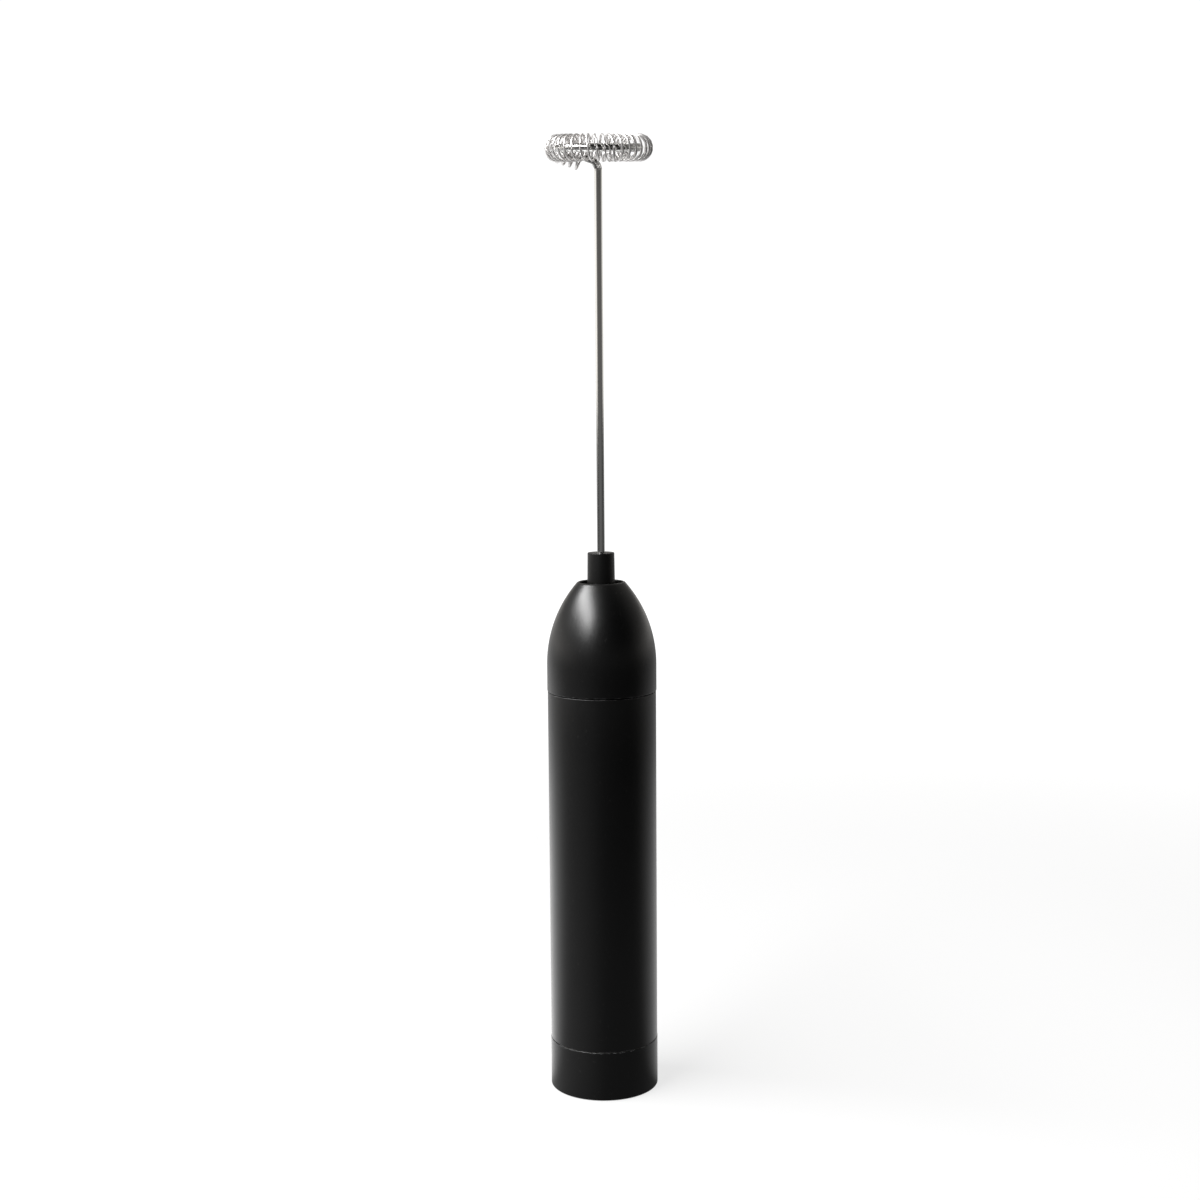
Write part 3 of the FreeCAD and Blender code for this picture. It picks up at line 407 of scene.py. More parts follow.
LEAD = Finish("lead_insulation", (0.35, 0.02, 0.015), (0.28, 0.02, 0.012), roughness=(0.3, 0.45))
CERAMIC = Finish("dipped_ceramic", (0.55, 0.26, 0.06), (0.45, 0.2, 0.05), roughness=(0.3, 0.45), coat=0.4)

NODE_FINISHES: dict[Finish, tuple[str, ...]] = {
    INNER_PLASTIC: ("motor_chassis", "battery_collar", "battery_carrier", "switch_body", "switch_retainer"),
    SEAL: ("nose_gasket", "cap_seal_ring"),
    SPRING_STEEL: ("carrier_spring", "tail_spring", "motor_shaft", "motor_screws"),
    BRASS: ("spring_pad", "bridge_contact", "tail_plate", "negative_contact", "return_strip",
            "positive_contact", "tail_contact", "motor_terminals"),
    BOARD: ("contact_board",),
    CELL: ("battery_cell_left", "battery_cell_right"),
    MOTOR_STEEL: ("motor_can",),
    FERRITE: ("field_magnets",),
    STACK: ("armature_core",),
    COPPER: ("armature_windings", "commutator"),
    NYLON: ("motor_end_bell",),
    BRONZE: ("rear_bush", "front_bush"),
    CARBON: ("carbon_brushes",),
    LEAD: ("lead_left", "lead_right"),
    CERAMIC: ("suppressor_capacitor",),
    RUBBER: ("return_dome",),
}


def dress(name: str, finish: Finish) -> None:
    """Give a carried-over CAD node its finish.

    Args:
        name: the node.
        finish: the finish for all its slots.
    """
    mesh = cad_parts[name].data
    material = finish.build()
    if not mesh.materials:
        mesh.materials.append(material)
    for index in range(len(mesh.materials)):
        mesh.materials[index] = material


# ------------------------------------------------------------------ mesh helpers
def arc(centre: tuple[float, float], radius: float, start: float, finish: float, steps: int) -> Profile:
    """Points of an arc in the (radius, height) plane.

    Args:
        centre: the arc's centre.
        radius: its radius.
        start: first angle in degrees.
        finish: last angle in degrees.
        steps: how many spans.

    Returns:
        The points, both ends among them.
    """
    points = []
    for index in range(steps + 1):
        angle = math.radians(start + (finish - start) * index / steps)
        points.append((centre[0] + radius * math.cos(angle), centre[1] + radius * math.sin(angle)))
    return points


def finish_object(name: str, mesh: bpy.types.Mesh, sharp_degrees: float = 35.0) -> bpy.types.Object:
    """Link a mesh as an object with smooth faces and sharp corners.

    Args:
        name: the object's name.
        mesh: its mesh.
        sharp_degrees: edges that turn more than this stay sharp.

    Returns:
        The linked object.
    """
    mesh.shade_smooth()
    mesh.set_sharp_from_angle(angle=math.radians(sharp_degrees))
    piece = bpy.data.objects.new(name, mesh)
    bpy.context.scene.collection.objects.link(piece)
    return piece


def lathe(name: str, profile: Profile, finish: Finish, sides: int = 160) -> bpy.types.Object:
    """Turn a closed (radius, height) profile into a closed solid.

    Args:
        name: the object's name.
        profile: the outline, in order; a radius of 0 lies on the axis.
        finish: its finish.
        sides: how many steps round the axis.

    Returns:
        The turned piece.
    """
    work = bmesh.new()
    rings = []
    for radius, height in profile:
        if radius < 1e-7:
            rings.append([work.verts.new((0.0, 0.0, height))])
            continue
        rings.append([
            work.verts.new((radius * math.cos(2 * math.pi * k / sides),
                            radius * math.sin(2 * math.pi * k / sides), height))
            for k in range(sides)
        ])
    count = len(rings)
    for index in range(count):
        lower, upper = rings[index], rings[(index + 1) % count]
        if len(lower) == 1 and len(upper) == 1:
            continue
        for k in range(sides):
            after = (k + 1) % sides
            corners = [lower[k % len(lower)], lower[after % len(lower)], upper[after % len(upper)],
                       upper[k % len(upper)]]
            work.faces.new(list(dict.fromkeys(corners)))
    bmesh.ops.recalc_face_normals(work, faces=work.faces)
    mesh = bpy.data.meshes.new(name)
    work.to_mesh(mesh)
    work.free()
    mesh.materials.append(finish.build())
    return finish_object(name, mesh)


def tube_along(name: str, path: list[Vector], radius: float, finish: Finish,
               sides: int = 28) -> bpy.types.Object:
    """A round wire along a path, with domed ends.

    Args:
        name: the object's name.
        path: points along the wire's centre line.
        radius: the wire's radius.
        finish: its finish.
        sides: how many steps round the wire.

    Returns:
        The wire.
    """
    work = bmesh.new()
    tangents = []
    for index in range(len(path)):
        before = path[max(index - 1, 0)]
        after = path[min(index + 1, len(path) - 1)]
        tangents.append((after - before).normalized())
    across = tangents[0].orthogonal().normalized()
    stations = [(path[0] - tangents[0] * radius * 0.3, tangents[0], 0.55)]
    stations += [(point, tangent, 1.0) for point, tangent in zip(path, tangents)]
    stations.append((path[-1] + tangents[-1] * radius * 0.3, tangents[-1], 0.55))
    rings = []
    for point, tangent, share in stations:
        across = (across - tangent * across.dot(tangent)).normalized()
        other = tangent.cross(across)
        rings.append([
            work.verts.new(point + (across * math.cos(2 * math.pi * k / sides)
                                    + other * math.sin(2 * math.pi * k / sides)) * radius * share)
            for k in range(sides)
        ])
    for lower, upper in zip(rings[:-1], rings[1:]):
        for k in range(sides):
            after = (k + 1) % sides
            work.faces.new((lower[k], lower[after], upper[after], upper[k]))
    work.faces.new(list(reversed(rings[0])))
    work.faces.new(rings[-1])
    bmesh.ops.recalc_face_normals(work, faces=work.faces)
    mesh = bpy.data.meshes.new(name)
    work.to_mesh(mesh)
    work.free()
    mesh.materials.append(finish.build())
    return finish_object(name, mesh, 50.0)


def low(node: str) -> float:
    """Lowest height of a CAD node."""
    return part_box(node)[0][2]


def high(node: str) -> float:
    """Highest height of a CAD node."""
    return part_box(node)[1][2]


def reach(node: str) -> float:
    """Largest distance of a turned CAD node from the axis, along X."""
    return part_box(node)[1][0]


def report(piece: bpy.types.Object) -> None:
    """Say which piece is made and how big its mesh is."""
    log.info("%s: %d faces", piece.name, len(piece.data.polygons))


# ------------------------------------------------------------------ the frother's sub-assemblies
@dataclass
class Handle:
    """Barrel, nose cone and the coated outside of the handle."""

    wall: float = 1.0 * MM
    edge: float = 0.1 * MM
    nose_wall: float = 1.12 * MM
    skirt: float = 6.8 * MM
    nose_curve: float = 32.25 * MM
    mouth: float = 6.09 * MM
    mouth_bore: float = 5.65 * MM
    mouth_bevel: float = 0.14 * MM
    seam_inset: float = 0.14 * MM
    curve_steps: int = 56
    pieces: list[bpy.types.Object] = field(default_factory=list)

    def build_barrel(self) -> bpy.types.Object:
        """Make the straight tube, both ends rolled over a little.

        Returns:
            The barrel.
        """
        outer = reach("barrel_tube")
        inner = outer - self.wall
        bottom, top = low("barrel_tube"), high("barrel_tube")
        turn = self.edge
        profile = [(inner, bottom)]
        profile += arc((outer - turn, bottom + turn), turn, -90, 0, 5)
        profile += [(outer, bottom + (top - bottom) * share) for share in (0.25, 0.5, 0.75)]
        profile += arc((outer - turn, top - turn), turn, 0, 90, 5)
        profile.append((inner, top))
        return self.own(lathe("barrel_shell", profile, SATIN_BLACK, 192), "barrel_tube", "satin_black")

    def build_nose(self) -> bpy.types.Object:
        """Make the one-piece nose: skirt, ogive and bored mouth with a fine bevel.

        Returns:
            The nose cone.
        """
        outer = reach("nose_cone")
        bottom = low("nose_cone")
        shoulder = bottom + self.skirt
        centre = outer - self.nose_curve
        inner_curve = self.nose_curve - self.nose_wall
        rise = math.degrees(math.acos((self.mouth - centre) / self.nose_curve))
        inner_rise = math.degrees(math.acos((self.mouth_bore - centre) / inner_curve))
        turn = self.edge
        top = high("nose_cone")
        inner = outer - self.nose_wall
        profile = [(inner, bottom)]
        profile += arc((outer - turn, bottom + turn), turn, -90, 0, 5)
        profile += arc((centre, shoulder), self.nose_curve, 0, rise - 0.25, self.curve_steps)
        profile += [(self.mouth - self.mouth_bevel, top), (self.mouth_bore + self.mouth_bevel, top),
                    (self.mouth_bore, top - self.mouth_bevel)]
        profile += arc((centre, shoulder), inner_curve, inner_rise, 0, self.curve_steps // 2)
        return self.own(lathe("nose_shell", profile, SATIN_BLACK, 192), "nose_cone", "satin_black")

    def build_seam_line(self) -> bpy.types.Object:
        """Make the thin bare ring that glints in the seam over the tail cap.

        Returns:
            The ring.
        """
        outer = reach("barrel_tube") - self.seam_inset
        top = low("barrel_tube") + 0.02 * MM
        bottom = high("tail_cap") - 0.02 * MM
        inner = outer - self.wall * 0.8
        profile = [(inner, bottom), (outer, bottom), (outer, top), (inner, top)]
        ring = lathe("seam_ring", profile, BARE_EDGE, 128)
        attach(ring, "handle")
        self.pieces.append(ring)
        return ring

    def own(self, piece: bpy.types.Object, node: str, slot: str) -> bpy.types.Object:
        """Let a shell stand for its CAD node on the handle.

        Args:
            piece: the shell.
            node: the node that it replaces.
            slot: not used.

        Returns:
            The same piece.
        """
        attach(piece, "handle")
        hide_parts(node)
        self.pieces.append(piece)
        return piece

    def build(self) -> list[bpy.types.Object]:
        """Make all the handle's shells.

        Returns:
            The pieces.
        """
        self.build_barrel()
        self.build_nose()
        self.build_seam_line()
        return self.pieces


@dataclass
class TailEnd:
    """Screw-off tail cap and the push button in its floor."""

    rim: float = 0.12 * MM
    edge: float = 0.1 * MM
    floor: float = 1.8 * MM
    dish: float = 9.5 * MM
    dish_depth: float = 0.5 * MM
    bore_gap: float = 0.25 * MM
    relief: float = 12.9 * MM
    spigot_bore: float = 12.25 * MM
    relief_height: float = 2.6 * MM
    seal_room: float = 1.26 * MM
    boss_gap: float = 0.05 * MM
    boss_wall: float = 1.1 * MM
    pieces: list[bpy.types.Object] = field(default_factory=list)

    def build_cap(self) -> bpy.types.Object:
        """Make the cup, its dished floor, the boss for the switch and the bored skirt.

        Returns:
            The tail cap.
        """
        outer = reach("tail_cap")
        top = high("tail_cap")
        hole = self.button_radius() + self.bore_gap
        boss_inner = reach("switch_body") + self.boss_gap
        boss_top = high("switch_retainer")
        rim, turn = self.rim, self.edge
        profile = [(hole, self.dish_depth), (self.dish, self.dish_depth), (self.dish + self.dish_depth, 0.0)]
        profile += arc((outer - rim, rim), rim, -90, 0, 6)
        profile += [(outer, top * 0.5)]
        profile += arc((outer - turn, top - turn), turn, 0, 90, 5)
        profile += [
            (self.relief, top), (self.relief, top - self.seal_room),
            (self.spigot_bore, top - self.seal_room),
            (self.spigot_bore, self.floor + self.relief_height),
            (self.relief, self.floor + self.relief_height),
            (self.relief, self.floor), (boss_inner + self.boss_wall, self.floor),
            (boss_inner + self.boss_wall, boss_top), (boss_inner, boss_top), (boss_inner, self.floor),
            (hole, self.floor),
        ]
        cap = lathe("tail_cap_shell", profile, SATIN_BLACK, 192)
        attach(cap, "tail_cap")
        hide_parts("tail_cap")
        self.pieces.append(cap)
        return cap

    def button_radius(self) -> float:
        """Radius of the button's face, inside its flange."""
        return 7.3 * MM

    def build_button(self) -> bpy.types.Object:
        """Make the domed button with ringed grip lands on its face.

        Returns:
            The push button.
        """
        bottom, top = low("switch_button"), high("switch_button")
        face = self.button_radius()
        flange = reach("switch_button")
        plunger = 2.0 * MM
        flange_low = self.floor + self.bore_gap
        flange_high = flange_low + 1.0 * MM
        crown = 0.3 * MM
        sphere = (face * face + crown * crown) / (2 * crown)
        profile: Profile = []
        steps = 60
        for index in range(steps + 1):
            radius = face * 0.97 * index / steps
            height = bottom + sphere - math.sqrt(sphere * sphere - radius * radius)
            ripple = max(0.0, math.cos(radius / (0.9 * MM) * 2 * math.pi)) if radius > 2.2 * MM else 0.0
            profile.append((radius, height + ripple * 0.12 * MM))
        profile += [(face, bottom + crown + 0.15 * MM), (face, flange_low), (flange, flange_low),
                    (flange, flange_high), (plunger, flange_high), (plunger, top), (0.0, top)]
        button = lathe("button_face", profile, RUBBER, 96)
        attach(button, "push_button")
        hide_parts("switch_button")
        self.pieces.append(button)
        return button

    def build(self) -> list[bpy.types.Object]:
        """Make the tail end's pieces.

        Returns:
            The pieces.
        """
        self.build_cap()
        self.build_button()
        return self.pieces


@dataclass
class Whisk:
    """Coupling, whisk wire and the spring wound round its ring."""

    wire: float = 1.0 * MM
    ring_height: float = 242.24 * MM
    ring_radius: float = 10.3 * MM
    ring_tilt: float = 6.0
    ring_opening: float = 34.0
    bend: float = 2.4 * MM
    ramp_turn: float = 70.5
    corner_run: float = 2.4 * MM
    coil_radius: float = 3.15 * MM
    coil_wire: float = 0.28 * MM
    coil_turns: int = 42
    coil_overrun: float = 12.0
    coil_start: float = 3.6 * MM
    samples_per_turn: int = 26
    coupling_bore: float = 1.0 * MM
    coupling_foot: float = 3.55 * MM
    coupling_top: float = 3.45 * MM
    coupling_bevel: float = 0.12 * MM
    pieces: list[bpy.types.Object] = field(default_factory=list)

    def build_coupling(self) -> bpy.types.Object:
        """Make the moulded plug that grips both shafts.

        Returns:
            The coupling.
        """
        bottom, top = low("drive_coupling"), high("drive_coupling")
        mouth = high("nose_cone")
        shaft_top = high("motor_shaft")
        wire_bottom = low("whisk_shaft")
        turn = self.coupling_bevel
        profile = [(self.coupling_bore, bottom), (self.coupling_foot - turn, bottom),
                   (self.coupling_foot, bottom + turn), (self.coupling_foot, mouth)]
        profile += arc((self.coupling_top - turn, top - turn), turn, 0, 90, 6)
        profile += [(self.wire + 0.12 * MM, top), (self.wire, top - 0.12 * MM), (self.wire, wire_bottom),
                    (0.0, wire_bottom), (0.0, shaft_top), (self.coupling_bore, shaft_top)]
        return self.own(lathe("coupling_plug", profile, COUPLING_PLASTIC, 96),
                        "drive_coupling", "black_plastic")

    def ring_point(self, angle: float, radius: float) -> Vector:
        """Point on the tilted ring.

        Args:
            angle: angle about the ring's axis, in radians.
            radius: distance from that axis.

        Returns:
            The point.
        """
        flat = Vector((radius * math.cos(angle), radius * math.sin(angle), 0.0))
        flat.rotate(Matrix.Rotation(math.radians(self.ring_tilt), 3, "X"))
        return flat + Vector((0.0, 0.0, self.ring_height))

    def rounded(self, before: Vector, corner: Vector, after: Vector, run: float, steps: int) -> list[Vector]:
        """Points of the arc that rounds a corner.

        Args:
            before: a point on the way in.
            corner: the corner.
            after: a point on the way out.
            run: distance from the corner to each end of the arc.
            steps: how many spans.

        Returns:
            The arc's points.
        """
        arriving = (corner - before).normalized()
        leaving = (after - corner).normalized()
        turn = arriving.angle(leaving)
        bend = run / math.tan(turn / 2)
        side = (leaving - arriving * leaving.dot(arriving)).normalized()
        start = corner - arriving * run
        centre = start + side * bend
        points = []
        for index in range(steps + 1):
            angle = turn * index / steps
            points.append(centre - side * bend * math.cos(angle) + arriving * bend * math.sin(angle))
        return points

    def wire_path(self) -> list[Vector]:
        """Centre line of the whisk wire: shaft, bend, ramp, corner and ring.

        Returns:
            The points, from the coupling to the wire's free end.
        """
        turn = math.radians(self.ramp_turn)
        corner_radius = math.hypot(self.ring_radius, self.corner_run)
        corner = self.ring_point(math.pi, corner_radius)
        set_back = self.bend * math.tan(turn / 2)
        rise = abs(corner.x) / math.tan(turn)
        elbow = Vector((0.0, 0.0, corner.z - rise))
        bottom = Vector((0.0, 0.0, low("whisk_shaft")))
        first = math.pi + math.atan2(self.corner_run, self.ring_radius)
        sweep = 2 * math.pi - math.radians(self.ring_opening)
        path = [bottom.lerp(elbow, index / 12) for index in range(11)]
        path += self.rounded(bottom, elbow, corner, set_back, 14)
        ramp_end = self.rounded(elbow, corner, self.ring_point(first, self.ring_radius), self.corner_run, 14)
        path += [path[-1].lerp(ramp_end[0], index / 5) for index in range(1, 5)]
        path += ramp_end
        path += [self.ring_point(first + sweep * index / 120, self.ring_radius) for index in range(1, 121)]
        return path

    def coil_path(self) -> list[Vector]:
        """Centre line of the spring: the outer half of the ramp, then all the way round the ring.

        Returns:
            The points.
        """
        path = self.wire_path()
        start = next(index for index, point in enumerate(path)
                     if point.z > self.ring_height - 4.5 * MM and point.x < -self.coil_start)
        route = path[start:]
        last = 3 * math.pi + math.atan2(self.corner_run, self.ring_radius) - math.radians(self.ring_opening)
        over = math.radians(self.coil_overrun)
        route += [self.ring_point(last + over * index / 6, self.ring_radius) for index in range(1, 7)]
        return route

    def coil_tree(self, finish: Finish) -> bpy.types.NodeTree:
        """Node tree that winds a round wire along the curve it is given.

        Args:
            finish: the finish set on the wire.

        Returns:
            The geometry node tree.
        """
        tree = bpy.data.node_groups.new("spring_winding", "GeometryNodeTree")
        face = tree.interface
        face.new_socket("Geometry", in_out="INPUT", socket_type="NodeSocketGeometry")
        for name, kind, value in (("Turns", "NodeSocketFloat", 40.0),
                                  ("Coil Radius", "NodeSocketFloat", 0.003),
                                  ("Wire Radius", "NodeSocketFloat", 0.0003),
                                  ("Stations", "NodeSocketInt", 900),
                                  ("Unevenness", "NodeSocketFloat", 0.0), ("Seed", "NodeSocketFloat", 1.0)):
            face.new_socket(name, in_out="INPUT", socket_type=kind).default_value = value
        face.new_socket("Geometry", in_out="OUTPUT", socket_type="NodeSocketGeometry")
        bench = NodeBench(tree)
        given = bench.add("NodeGroupInput")
        evened = bench.add("GeometryNodeResampleCurve")
        bench.join(given.outputs["Geometry"], evened.inputs["Curve"])
        bench.join(given.outputs["Stations"], evened.inputs["Count"])
        upright = bench.add("GeometryNodeSetCurveNormal")
        upright.mode = "Z_UP"
        bench.join(evened.outputs["Curve"], upright.inputs["Curve"])
        normal = bench.add("GeometryNodeInputNormal")
        tangent = bench.add("GeometryNodeInputTangent")
        along = bench.add("GeometryNodeSplineParameter").outputs["Factor"]
        noise = bench.add("ShaderNodeTexNoise", noise_dimensions="1D")
        seeded = bench.math("ADD", bench.math("MULTIPLY", along, 14.0), given.outputs["Seed"])
        bench.join(seeded, noise.inputs["W"])
        centred = bench.math("SUBTRACT", noise.outputs["Fac"], 0.5)
        drift = bench.math("MULTIPLY", centred, given.outputs["Unevenness"])
        turned = bench.math("ADD", bench.math("MULTIPLY", along, given.outputs["Turns"]), drift)
        angle = bench.math("MULTIPLY", turned, 2 * math.pi)
        side = bench.add("ShaderNodeVectorMath", operation="CROSS_PRODUCT")
        bench.join(tangent.outputs[0], side.inputs[0])
        bench.join(normal.outputs[0], side.inputs[1])
        offsets = []
        for vector, function in ((normal.outputs[0], "COSINE"), (side.outputs[0], "SINE")):
            scaled = bench.add("ShaderNodeVectorMath", operation="SCALE")
            bench.join(vector, scaled.inputs[0])
            bench.join(bench.math("MULTIPLY", bench.math(function, angle), given.outputs["Coil Radius"]),
                       scaled.inputs["Scale"])
            offsets.append(scaled.outputs[0])
        both = bench.add("ShaderNodeVectorMath", operation="ADD")
        bench.join(offsets[0], both.inputs[0])
        bench.join(offsets[1], both.inputs[1])
        moved = bench.add("GeometryNodeSetPosition")
        bench.join(upright.outputs["Curve"], moved.inputs["Geometry"])
        bench.join(both.outputs[0], moved.inputs["Offset"])
        section = bench.add("GeometryNodeCurvePrimitiveCircle")
        section.inputs["Resolution"].default_value = 10
        bench.join(given.outputs["Wire Radius"], section.inputs["Radius"])
        wire = bench.add("GeometryNodeCurveToMesh")
        wire.inputs["Fill Caps"].default_value = True
        bench.join(moved.outputs["Geometry"], wire.inputs["Curve"])
        bench.join(section.outputs["Curve"], wire.inputs["Profile Curve"])
        real = bench.add("GeometryNodeRealizeInstances")
        bench.join(wire.outputs["Mesh"], real.inputs["Geometry"])
        coated = bench.add("GeometryNodeSetMaterial")
        coated.inputs["Material"].default_value = finish.build()
        bench.join(real.outputs["Geometry"], coated.inputs["Geometry"])
        leave = bench.add("NodeGroupOutput")
        bench.join(coated.outputs["Geometry"], leave.inputs[0])
        return tree

    def build_coil(self) -> bpy.types.Object:
        """Wind the spring round the ring and the end of the ramp.

        Returns:
            The spring as a plain mesh.
        """
        route = self.coil_path()
        curve = bpy.data.curves.new("coil_route", "CURVE")
        curve.dimensions = "3D"
        spline = curve.splines.new("POLY")
        spline.points.add(len(route) - 1)
        for point, place in zip(spline.points, route):
            point.co = (*place, 1.0)
        former = bpy.data.objects.new("coil_former", curve)
        bpy.context.scene.collection.objects.link(former)
        tree = self.coil_tree(COIL_WIRE)
        modifier = former.modifiers.new("winding", "NODES")
        modifier.node_group = tree
        values = {"Turns": float(self.coil_turns), "Coil Radius": self.coil_radius,
                  "Wire Radius": self.coil_wire, "Stations": self.coil_turns * self.samples_per_turn,
                  "Unevenness": 0.5, "Seed": 3.0}
        for item in tree.interface.items_tree:
            if item.in_out == "INPUT" and item.name in values:
                modifier[item.identifier] = values[item.name]
        shown = former.evaluated_get(bpy.context.evaluated_depsgraph_get())
        mesh = bpy.data.meshes.new_from_object(shown)
        mesh.name = "whisk_spring"
        bpy.data.objects.remove(former)
        if not mesh.materials:
            mesh.materials.append(COIL_WIRE.build())
        return self.own(finish_object("whisk_spring", mesh, 60.0), "whisk_coil", "stainless_wire")

    def own(self, piece: bpy.types.Object, node: str, slot: str) -> bpy.types.Object:
        """Let a piece stand for its CAD node on the whisk drive.

        Args:
            piece: the piece.
            node: the node that it replaces.
            slot: not used.

        Returns:
            The same piece.
        """
        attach(piece, "whisk_drive")
        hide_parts(node)
        self.pieces.append(piece)
        return piece

    def build(self) -> list[bpy.types.Object]:
        """Make the coupling, the wire and the spring.

        Returns:
            The pieces.
        """
        self.build_coupling()
        self.own(tube_along("whisk_wire", self.wire_path(), self.wire, BRIGHT_WIRE, 40), "whisk_shaft",
                 "stainless_wire")
        self.build_coil()
        return self.pieces


@dataclass
class Studio:
    """Pale floor, soft light and the camera."""

    eye: tuple[float, float, float] = (0.0, -466.66 * MM, 188.48 * MM)
    pitch: float = 0.1275
    yaw: float = -0.0007
    roll: float = -0.0073
    lens: float = 54.91
    floor_size: float = 12.0
    floor_albedo: float = 0.17
    # The floor glow and bounce strengths below are painted light: the floor emits them though it is no lamp.
    floor_glow: float = 0.77
    near_floor: float = 0.2
    far_floor: float = 0.9
    front_bounce: float = 0.13
    far_bounce: float = 0.15
    left_bounce: float = 0.3
    back_bounce: float = 0.95
    corner_bounce: float = 1.3
    back_glow: float = 0.85
    side_glow: float = 0.8
    upper_share: float = 0.35
    horizon_glow: float = 0.14
    room_glow: float = 0.004
    key_place: tuple[float, float, float] = (-0.6, -0.29, 0.71)
    key_along: tuple[float, float, float] = (-0.7, 0.5, 0.7)
    key_aim: tuple[float, float, float] = (0.0, 0.0, 0.12)
    key_size: tuple[float, float] = (0.3, 1.1)
    key_power: float = 24.0
    floor_drop: float = 0.2 * MM

    def build_floor(self) -> None:
        """Lay a pale floor: white to the camera, from a painted glow that is weaker near the object, with
        the lamp's soft shadow; to the rest it shows painted bounce light round the object, dim away from it.
        """
        mesh = bpy.data.meshes.new("studio_floor")
        half = self.floor_size / 2
        corners = [(-half, -half, 0), (half, -half, 0), (half, half, 0), (-half, half, 0)]
        mesh.from_pydata(corners, [], [(0, 1, 2, 3)])
        floor = bpy.data.objects.new("studio_floor", mesh)
        floor.location.z = -self.floor_drop
        bpy.context.scene.collection.objects.link(floor)
        mesh.materials.append(self.floor_material())

    def floor_material(self) -> bpy.types.Material:
        """Make the floor's material, with its painted glow and painted bounce light.

        Returns:
            The material.
        """
        material = bpy.data.materials.new("studio_floor")
        material.use_nodes = True
        tree = material.node_tree
        tree.nodes.clear()
        bench = NodeBench(tree)
        place = bench.add("ShaderNodeTexCoord").outputs["Object"]
        parts = bench.add("ShaderNodeSeparateXYZ")
        bench.join(place, parts.inputs[0])
        span = bench.add("ShaderNodeVectorMath", operation="LENGTH")
        bench.join(place, span.inputs[0])
        away = span.outputs["Value"]
        glowing_paper = bench.add("ShaderNodeBsdfPrincipled")
        glowing_paper.inputs["Base Color"].default_value = (*[self.floor_albedo] * 3, 1.0)
        glowing_paper.inputs["Roughness"].default_value = 0.8
        glowing_paper.inputs["Specular IOR Level"].default_value = 0.0
        glowing_paper.inputs["Emission Color"].default_value = (1.0, 1.0, 1.0, 1.0)
        # Painted glow seen by the camera: the floor emits light, weaker near the object and stronger far
        # off.
        bench.join(self.ramp(bench, away, self.near_floor, self.far_floor, (self.floor_glow, 1.1)),
                   glowing_paper.inputs["Emission Strength"])
        # Painted bounce light for all rays but the camera's: the floor glows close in front, wide at the
        # left, behind, in the back left corner and far ahead.
        left = bench.math("DIVIDE", bench.math("MULTIPLY", parts.outputs["X"], -1.0), away)
        back = bench.math("DIVIDE", parts.outputs["Y"], away)
        close = self.ramp(bench, away, 0.1, 0.42, (self.front_bounce, 0.0))
        wide = bench.math("MULTIPLY", bench.math("MAXIMUM", left, 0.0),
                          self.ramp(bench, away, 0.1, 1.3, (self.left_bounce, 0.0)))
        even = bench.math("MULTIPLY", bench.math("ADD", back, 0.15, clamp=True), self.back_bounce)
        corner = bench.math("MULTIPLY", bench.math("MAXIMUM", back, 0.0),
                            bench.math("ADD", left, 0.3, clamp=True))
        corner_light = bench.math("MULTIPLY", corner, self.corner_bounce)
        behind = bench.math("MULTIPLY", bench.math("ADD", even, corner_light),
                            self.ramp(bench, away, 0.1, 0.55, (1.0, 0.4)))
        ahead = bench.math("MULTIPLY", bench.math("MULTIPLY", back, -1.0, clamp=True),
                           self.ramp(bench, away, 0.8, 1.2, (0.0, self.far_bounce)))
        front = bench.math("ADD", close, ahead)
        # Emission that carries the painted bounce light.
        dim = bench.add("ShaderNodeEmission")
        bench.join(bench.math("ADD", bench.math("ADD", front, wide), behind), dim.inputs["Strength"])
        mix = bench.add("ShaderNodeMixShader")
        bench.join(bench.add("ShaderNodeLightPath").outputs["Is Camera Ray"], mix.inputs[0])
        bench.join(dim.outputs[0], mix.inputs[1])
        bench.join(glowing_paper.outputs[0], mix.inputs[2])
        bench.join(mix.outputs[0], bench.add("ShaderNodeOutputMaterial").inputs["Surface"])
        return material

    def ramp(self, bench: NodeBench, value: bpy.types.NodeSocket, start: float, finish: float,
             ends: tuple[float, float]) -> bpy.types.NodeSocket:
        """Smooth change between two strengths as a value grows.

        Args:
            bench: the tree's bench.
            value: what grows.
            start: where the change starts.
            finish: where it is over.
            ends: the strength before and after.

        Returns:
            The strength.
        """
        node = bench.add("ShaderNodeMapRange", interpolation_type="SMOOTHSTEP")
        bench.join(value, node.inputs["Value"])
        for name, number in zip(("From Min", "From Max", "To Min", "To Max"), (start, finish, *ends)):
            node.inputs[name].default_value = number
        return node.outputs["Result"]

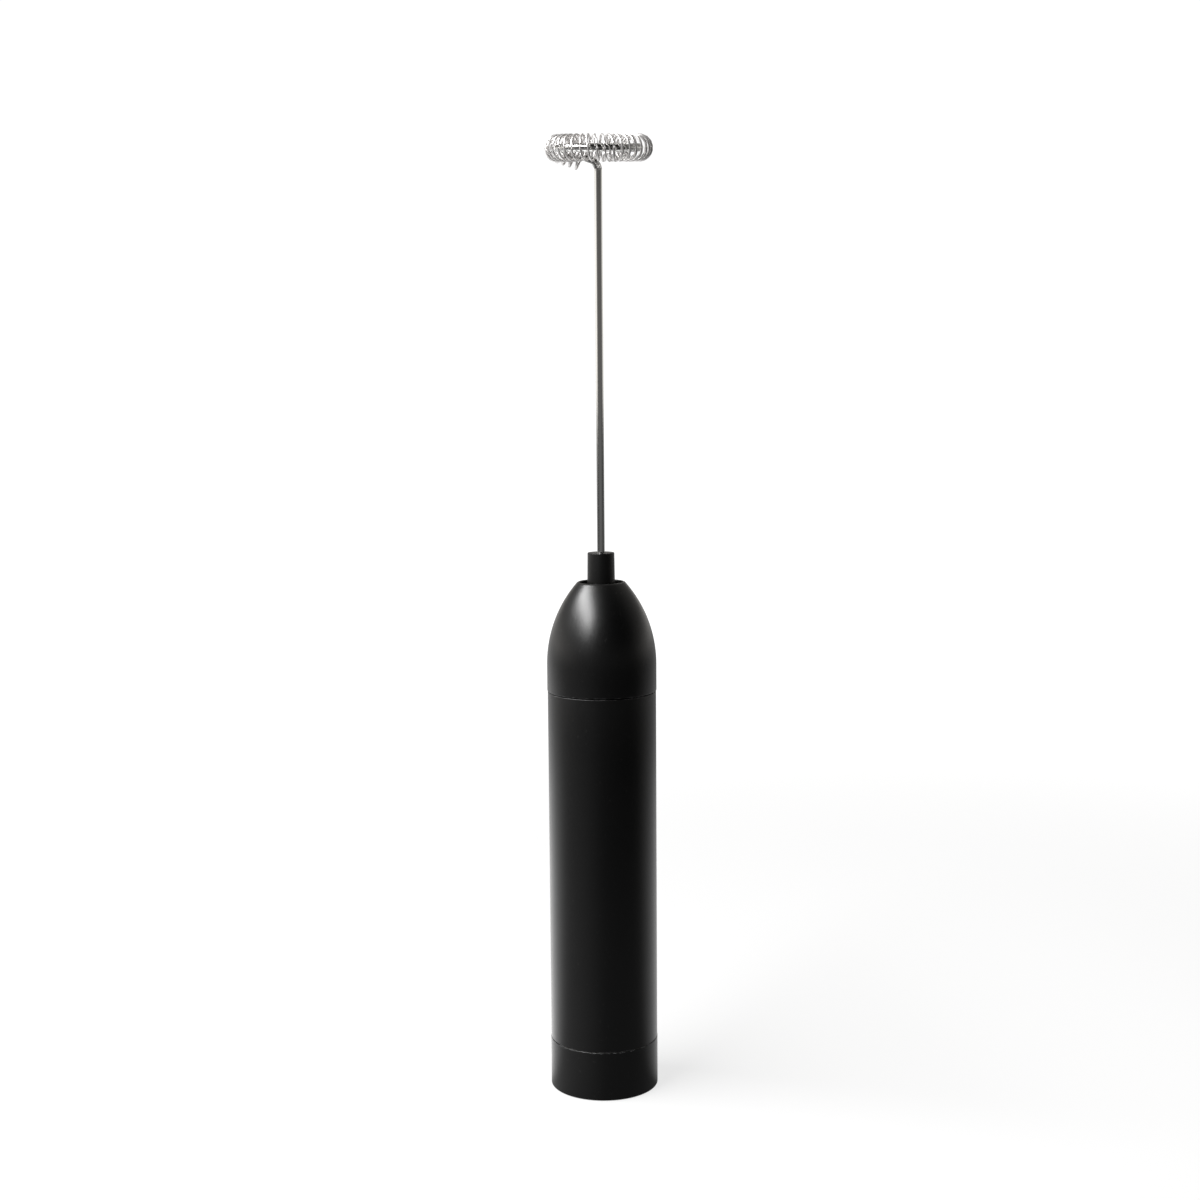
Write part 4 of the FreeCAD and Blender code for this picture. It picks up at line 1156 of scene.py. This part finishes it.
    def build_sky(self) -> None:
        """White to the camera; to the object, bright behind and at the left, dim in front."""
        world = bpy.data.worlds.new("studio")
        bpy.context.scene.world = world
        world.use_nodes = True
        tree = world.node_tree
        tree.nodes.clear()
        bench = NodeBench(tree)
        parts = bench.add("ShaderNodeSeparateXYZ")
        bench.join(bench.add("ShaderNodeTexCoord").outputs["Generated"], parts.inputs[0])
        behind = self.ramp(bench, parts.outputs["Y"], -0.5, 0.6, (0.0, self.back_glow))
        left = bench.math("MULTIPLY", parts.outputs["X"], -1.0)
        side = self.ramp(bench, left, 0.72, 1.0, (0.0, self.side_glow))
        height = bench.math("ABSOLUTE", parts.outputs["Z"])
        backdrop = bench.math("MULTIPLY", bench.math("ADD", behind, side),
                              self.ramp(bench, height, 0.06, 0.26, (1.0, self.upper_share)))
        band = self.ramp(bench, height, 0.05, 0.25, (self.horizon_glow, self.room_glow))
        strength = bench.math("ADD", backdrop, band)
        glow = bench.add("ShaderNodeBackground")
        glow.inputs["Color"].default_value = (1.0, 0.97, 0.93, 1.0)
        bench.join(strength, glow.inputs["Strength"])
        white = bench.add("ShaderNodeBackground")
        white.inputs["Color"].default_value = (1.0, 1.0, 1.0, 1.0)
        white.inputs["Strength"].default_value = 1.05
        mix = bench.add("ShaderNodeMixShader")
        bench.join(bench.add("ShaderNodeLightPath").outputs["Is Camera Ray"], mix.inputs[0])
        bench.join(glow.outputs[0], mix.inputs[1])
        bench.join(white.outputs[0], mix.inputs[2])
        bench.join(mix.outputs[0], bench.add("ShaderNodeOutputWorld").inputs["Surface"])

    def build_lamp(self, name: str, place: Vector, aim: Vector, along: Vector, size: tuple[float, float],
                   power: float) -> None:
        """Hang one soft rectangular lamp.

        Args:
            name: its name.
            place: where it hangs.
            aim: what it points at.
            along: which way its height runs.
            size: its width and height.
            power: its power in watts.
        """
        data = bpy.data.lights.new(name, "AREA")
        data.shape = "RECTANGLE"
        data.size, data.size_y = size
        data.energy = power
        lamp = bpy.data.objects.new(name, data)
        back = (place - aim).normalized()
        upright = (along - back * along.dot(back)).normalized()
        turned = Matrix((upright.cross(back), upright, back)).transposed().to_4x4()
        lamp.matrix_world = Matrix.Translation(place) @ turned
        bpy.context.scene.collection.objects.link(lamp)

    def build_camera(self) -> None:
        """Set the camera at its eye point, looking slightly down."""
        forward = Vector((math.sin(self.yaw) * math.cos(self.pitch),
                          math.cos(self.yaw) * math.cos(self.pitch), -math.sin(self.pitch)))
        right = Vector((math.cos(self.yaw), -math.sin(self.yaw), 0.0))
        up = right.cross(forward)
        turned_right = right * math.cos(self.roll) + up * math.sin(self.roll)
        turned_up = up * math.cos(self.roll) - right * math.sin(self.roll)
        data = bpy.data.cameras.new("camera")
        data.lens = self.lens
        data.sensor_width = 36.0
        camera = bpy.data.objects.new("camera", data)
        rotation = Matrix((turned_right, turned_up, -forward)).transposed().to_4x4()
        camera.matrix_world = Matrix.Translation(Vector(self.eye)) @ rotation
        bpy.context.scene.collection.objects.link(camera)
        bpy.context.scene.camera = camera

    def build(self) -> None:
        """Set up floor, light and camera."""
        scene = bpy.context.scene
        scene.view_settings.view_transform = "Standard"
        self.build_floor()
        self.build_sky()
        aim = Vector(self.key_aim)
        self.build_lamp("soft_key", aim + Vector(self.key_place), aim, Vector(self.key_along),
                        self.key_size, self.key_power)
        self.build_camera()


def main() -> None:
    """Dress the frame and build the visible pieces."""
    logging.basicConfig(level=logging.INFO, format="%(name)s %(message)s")
    for finish, names in NODE_FINISHES.items():
        for name in names:
            dress(name, finish)
    for assembly in (Handle(), TailEnd(), Whisk()):
        for piece in assembly.build():
            report(piece)
    Studio().build()


if __name__ == "__main__":
    main()
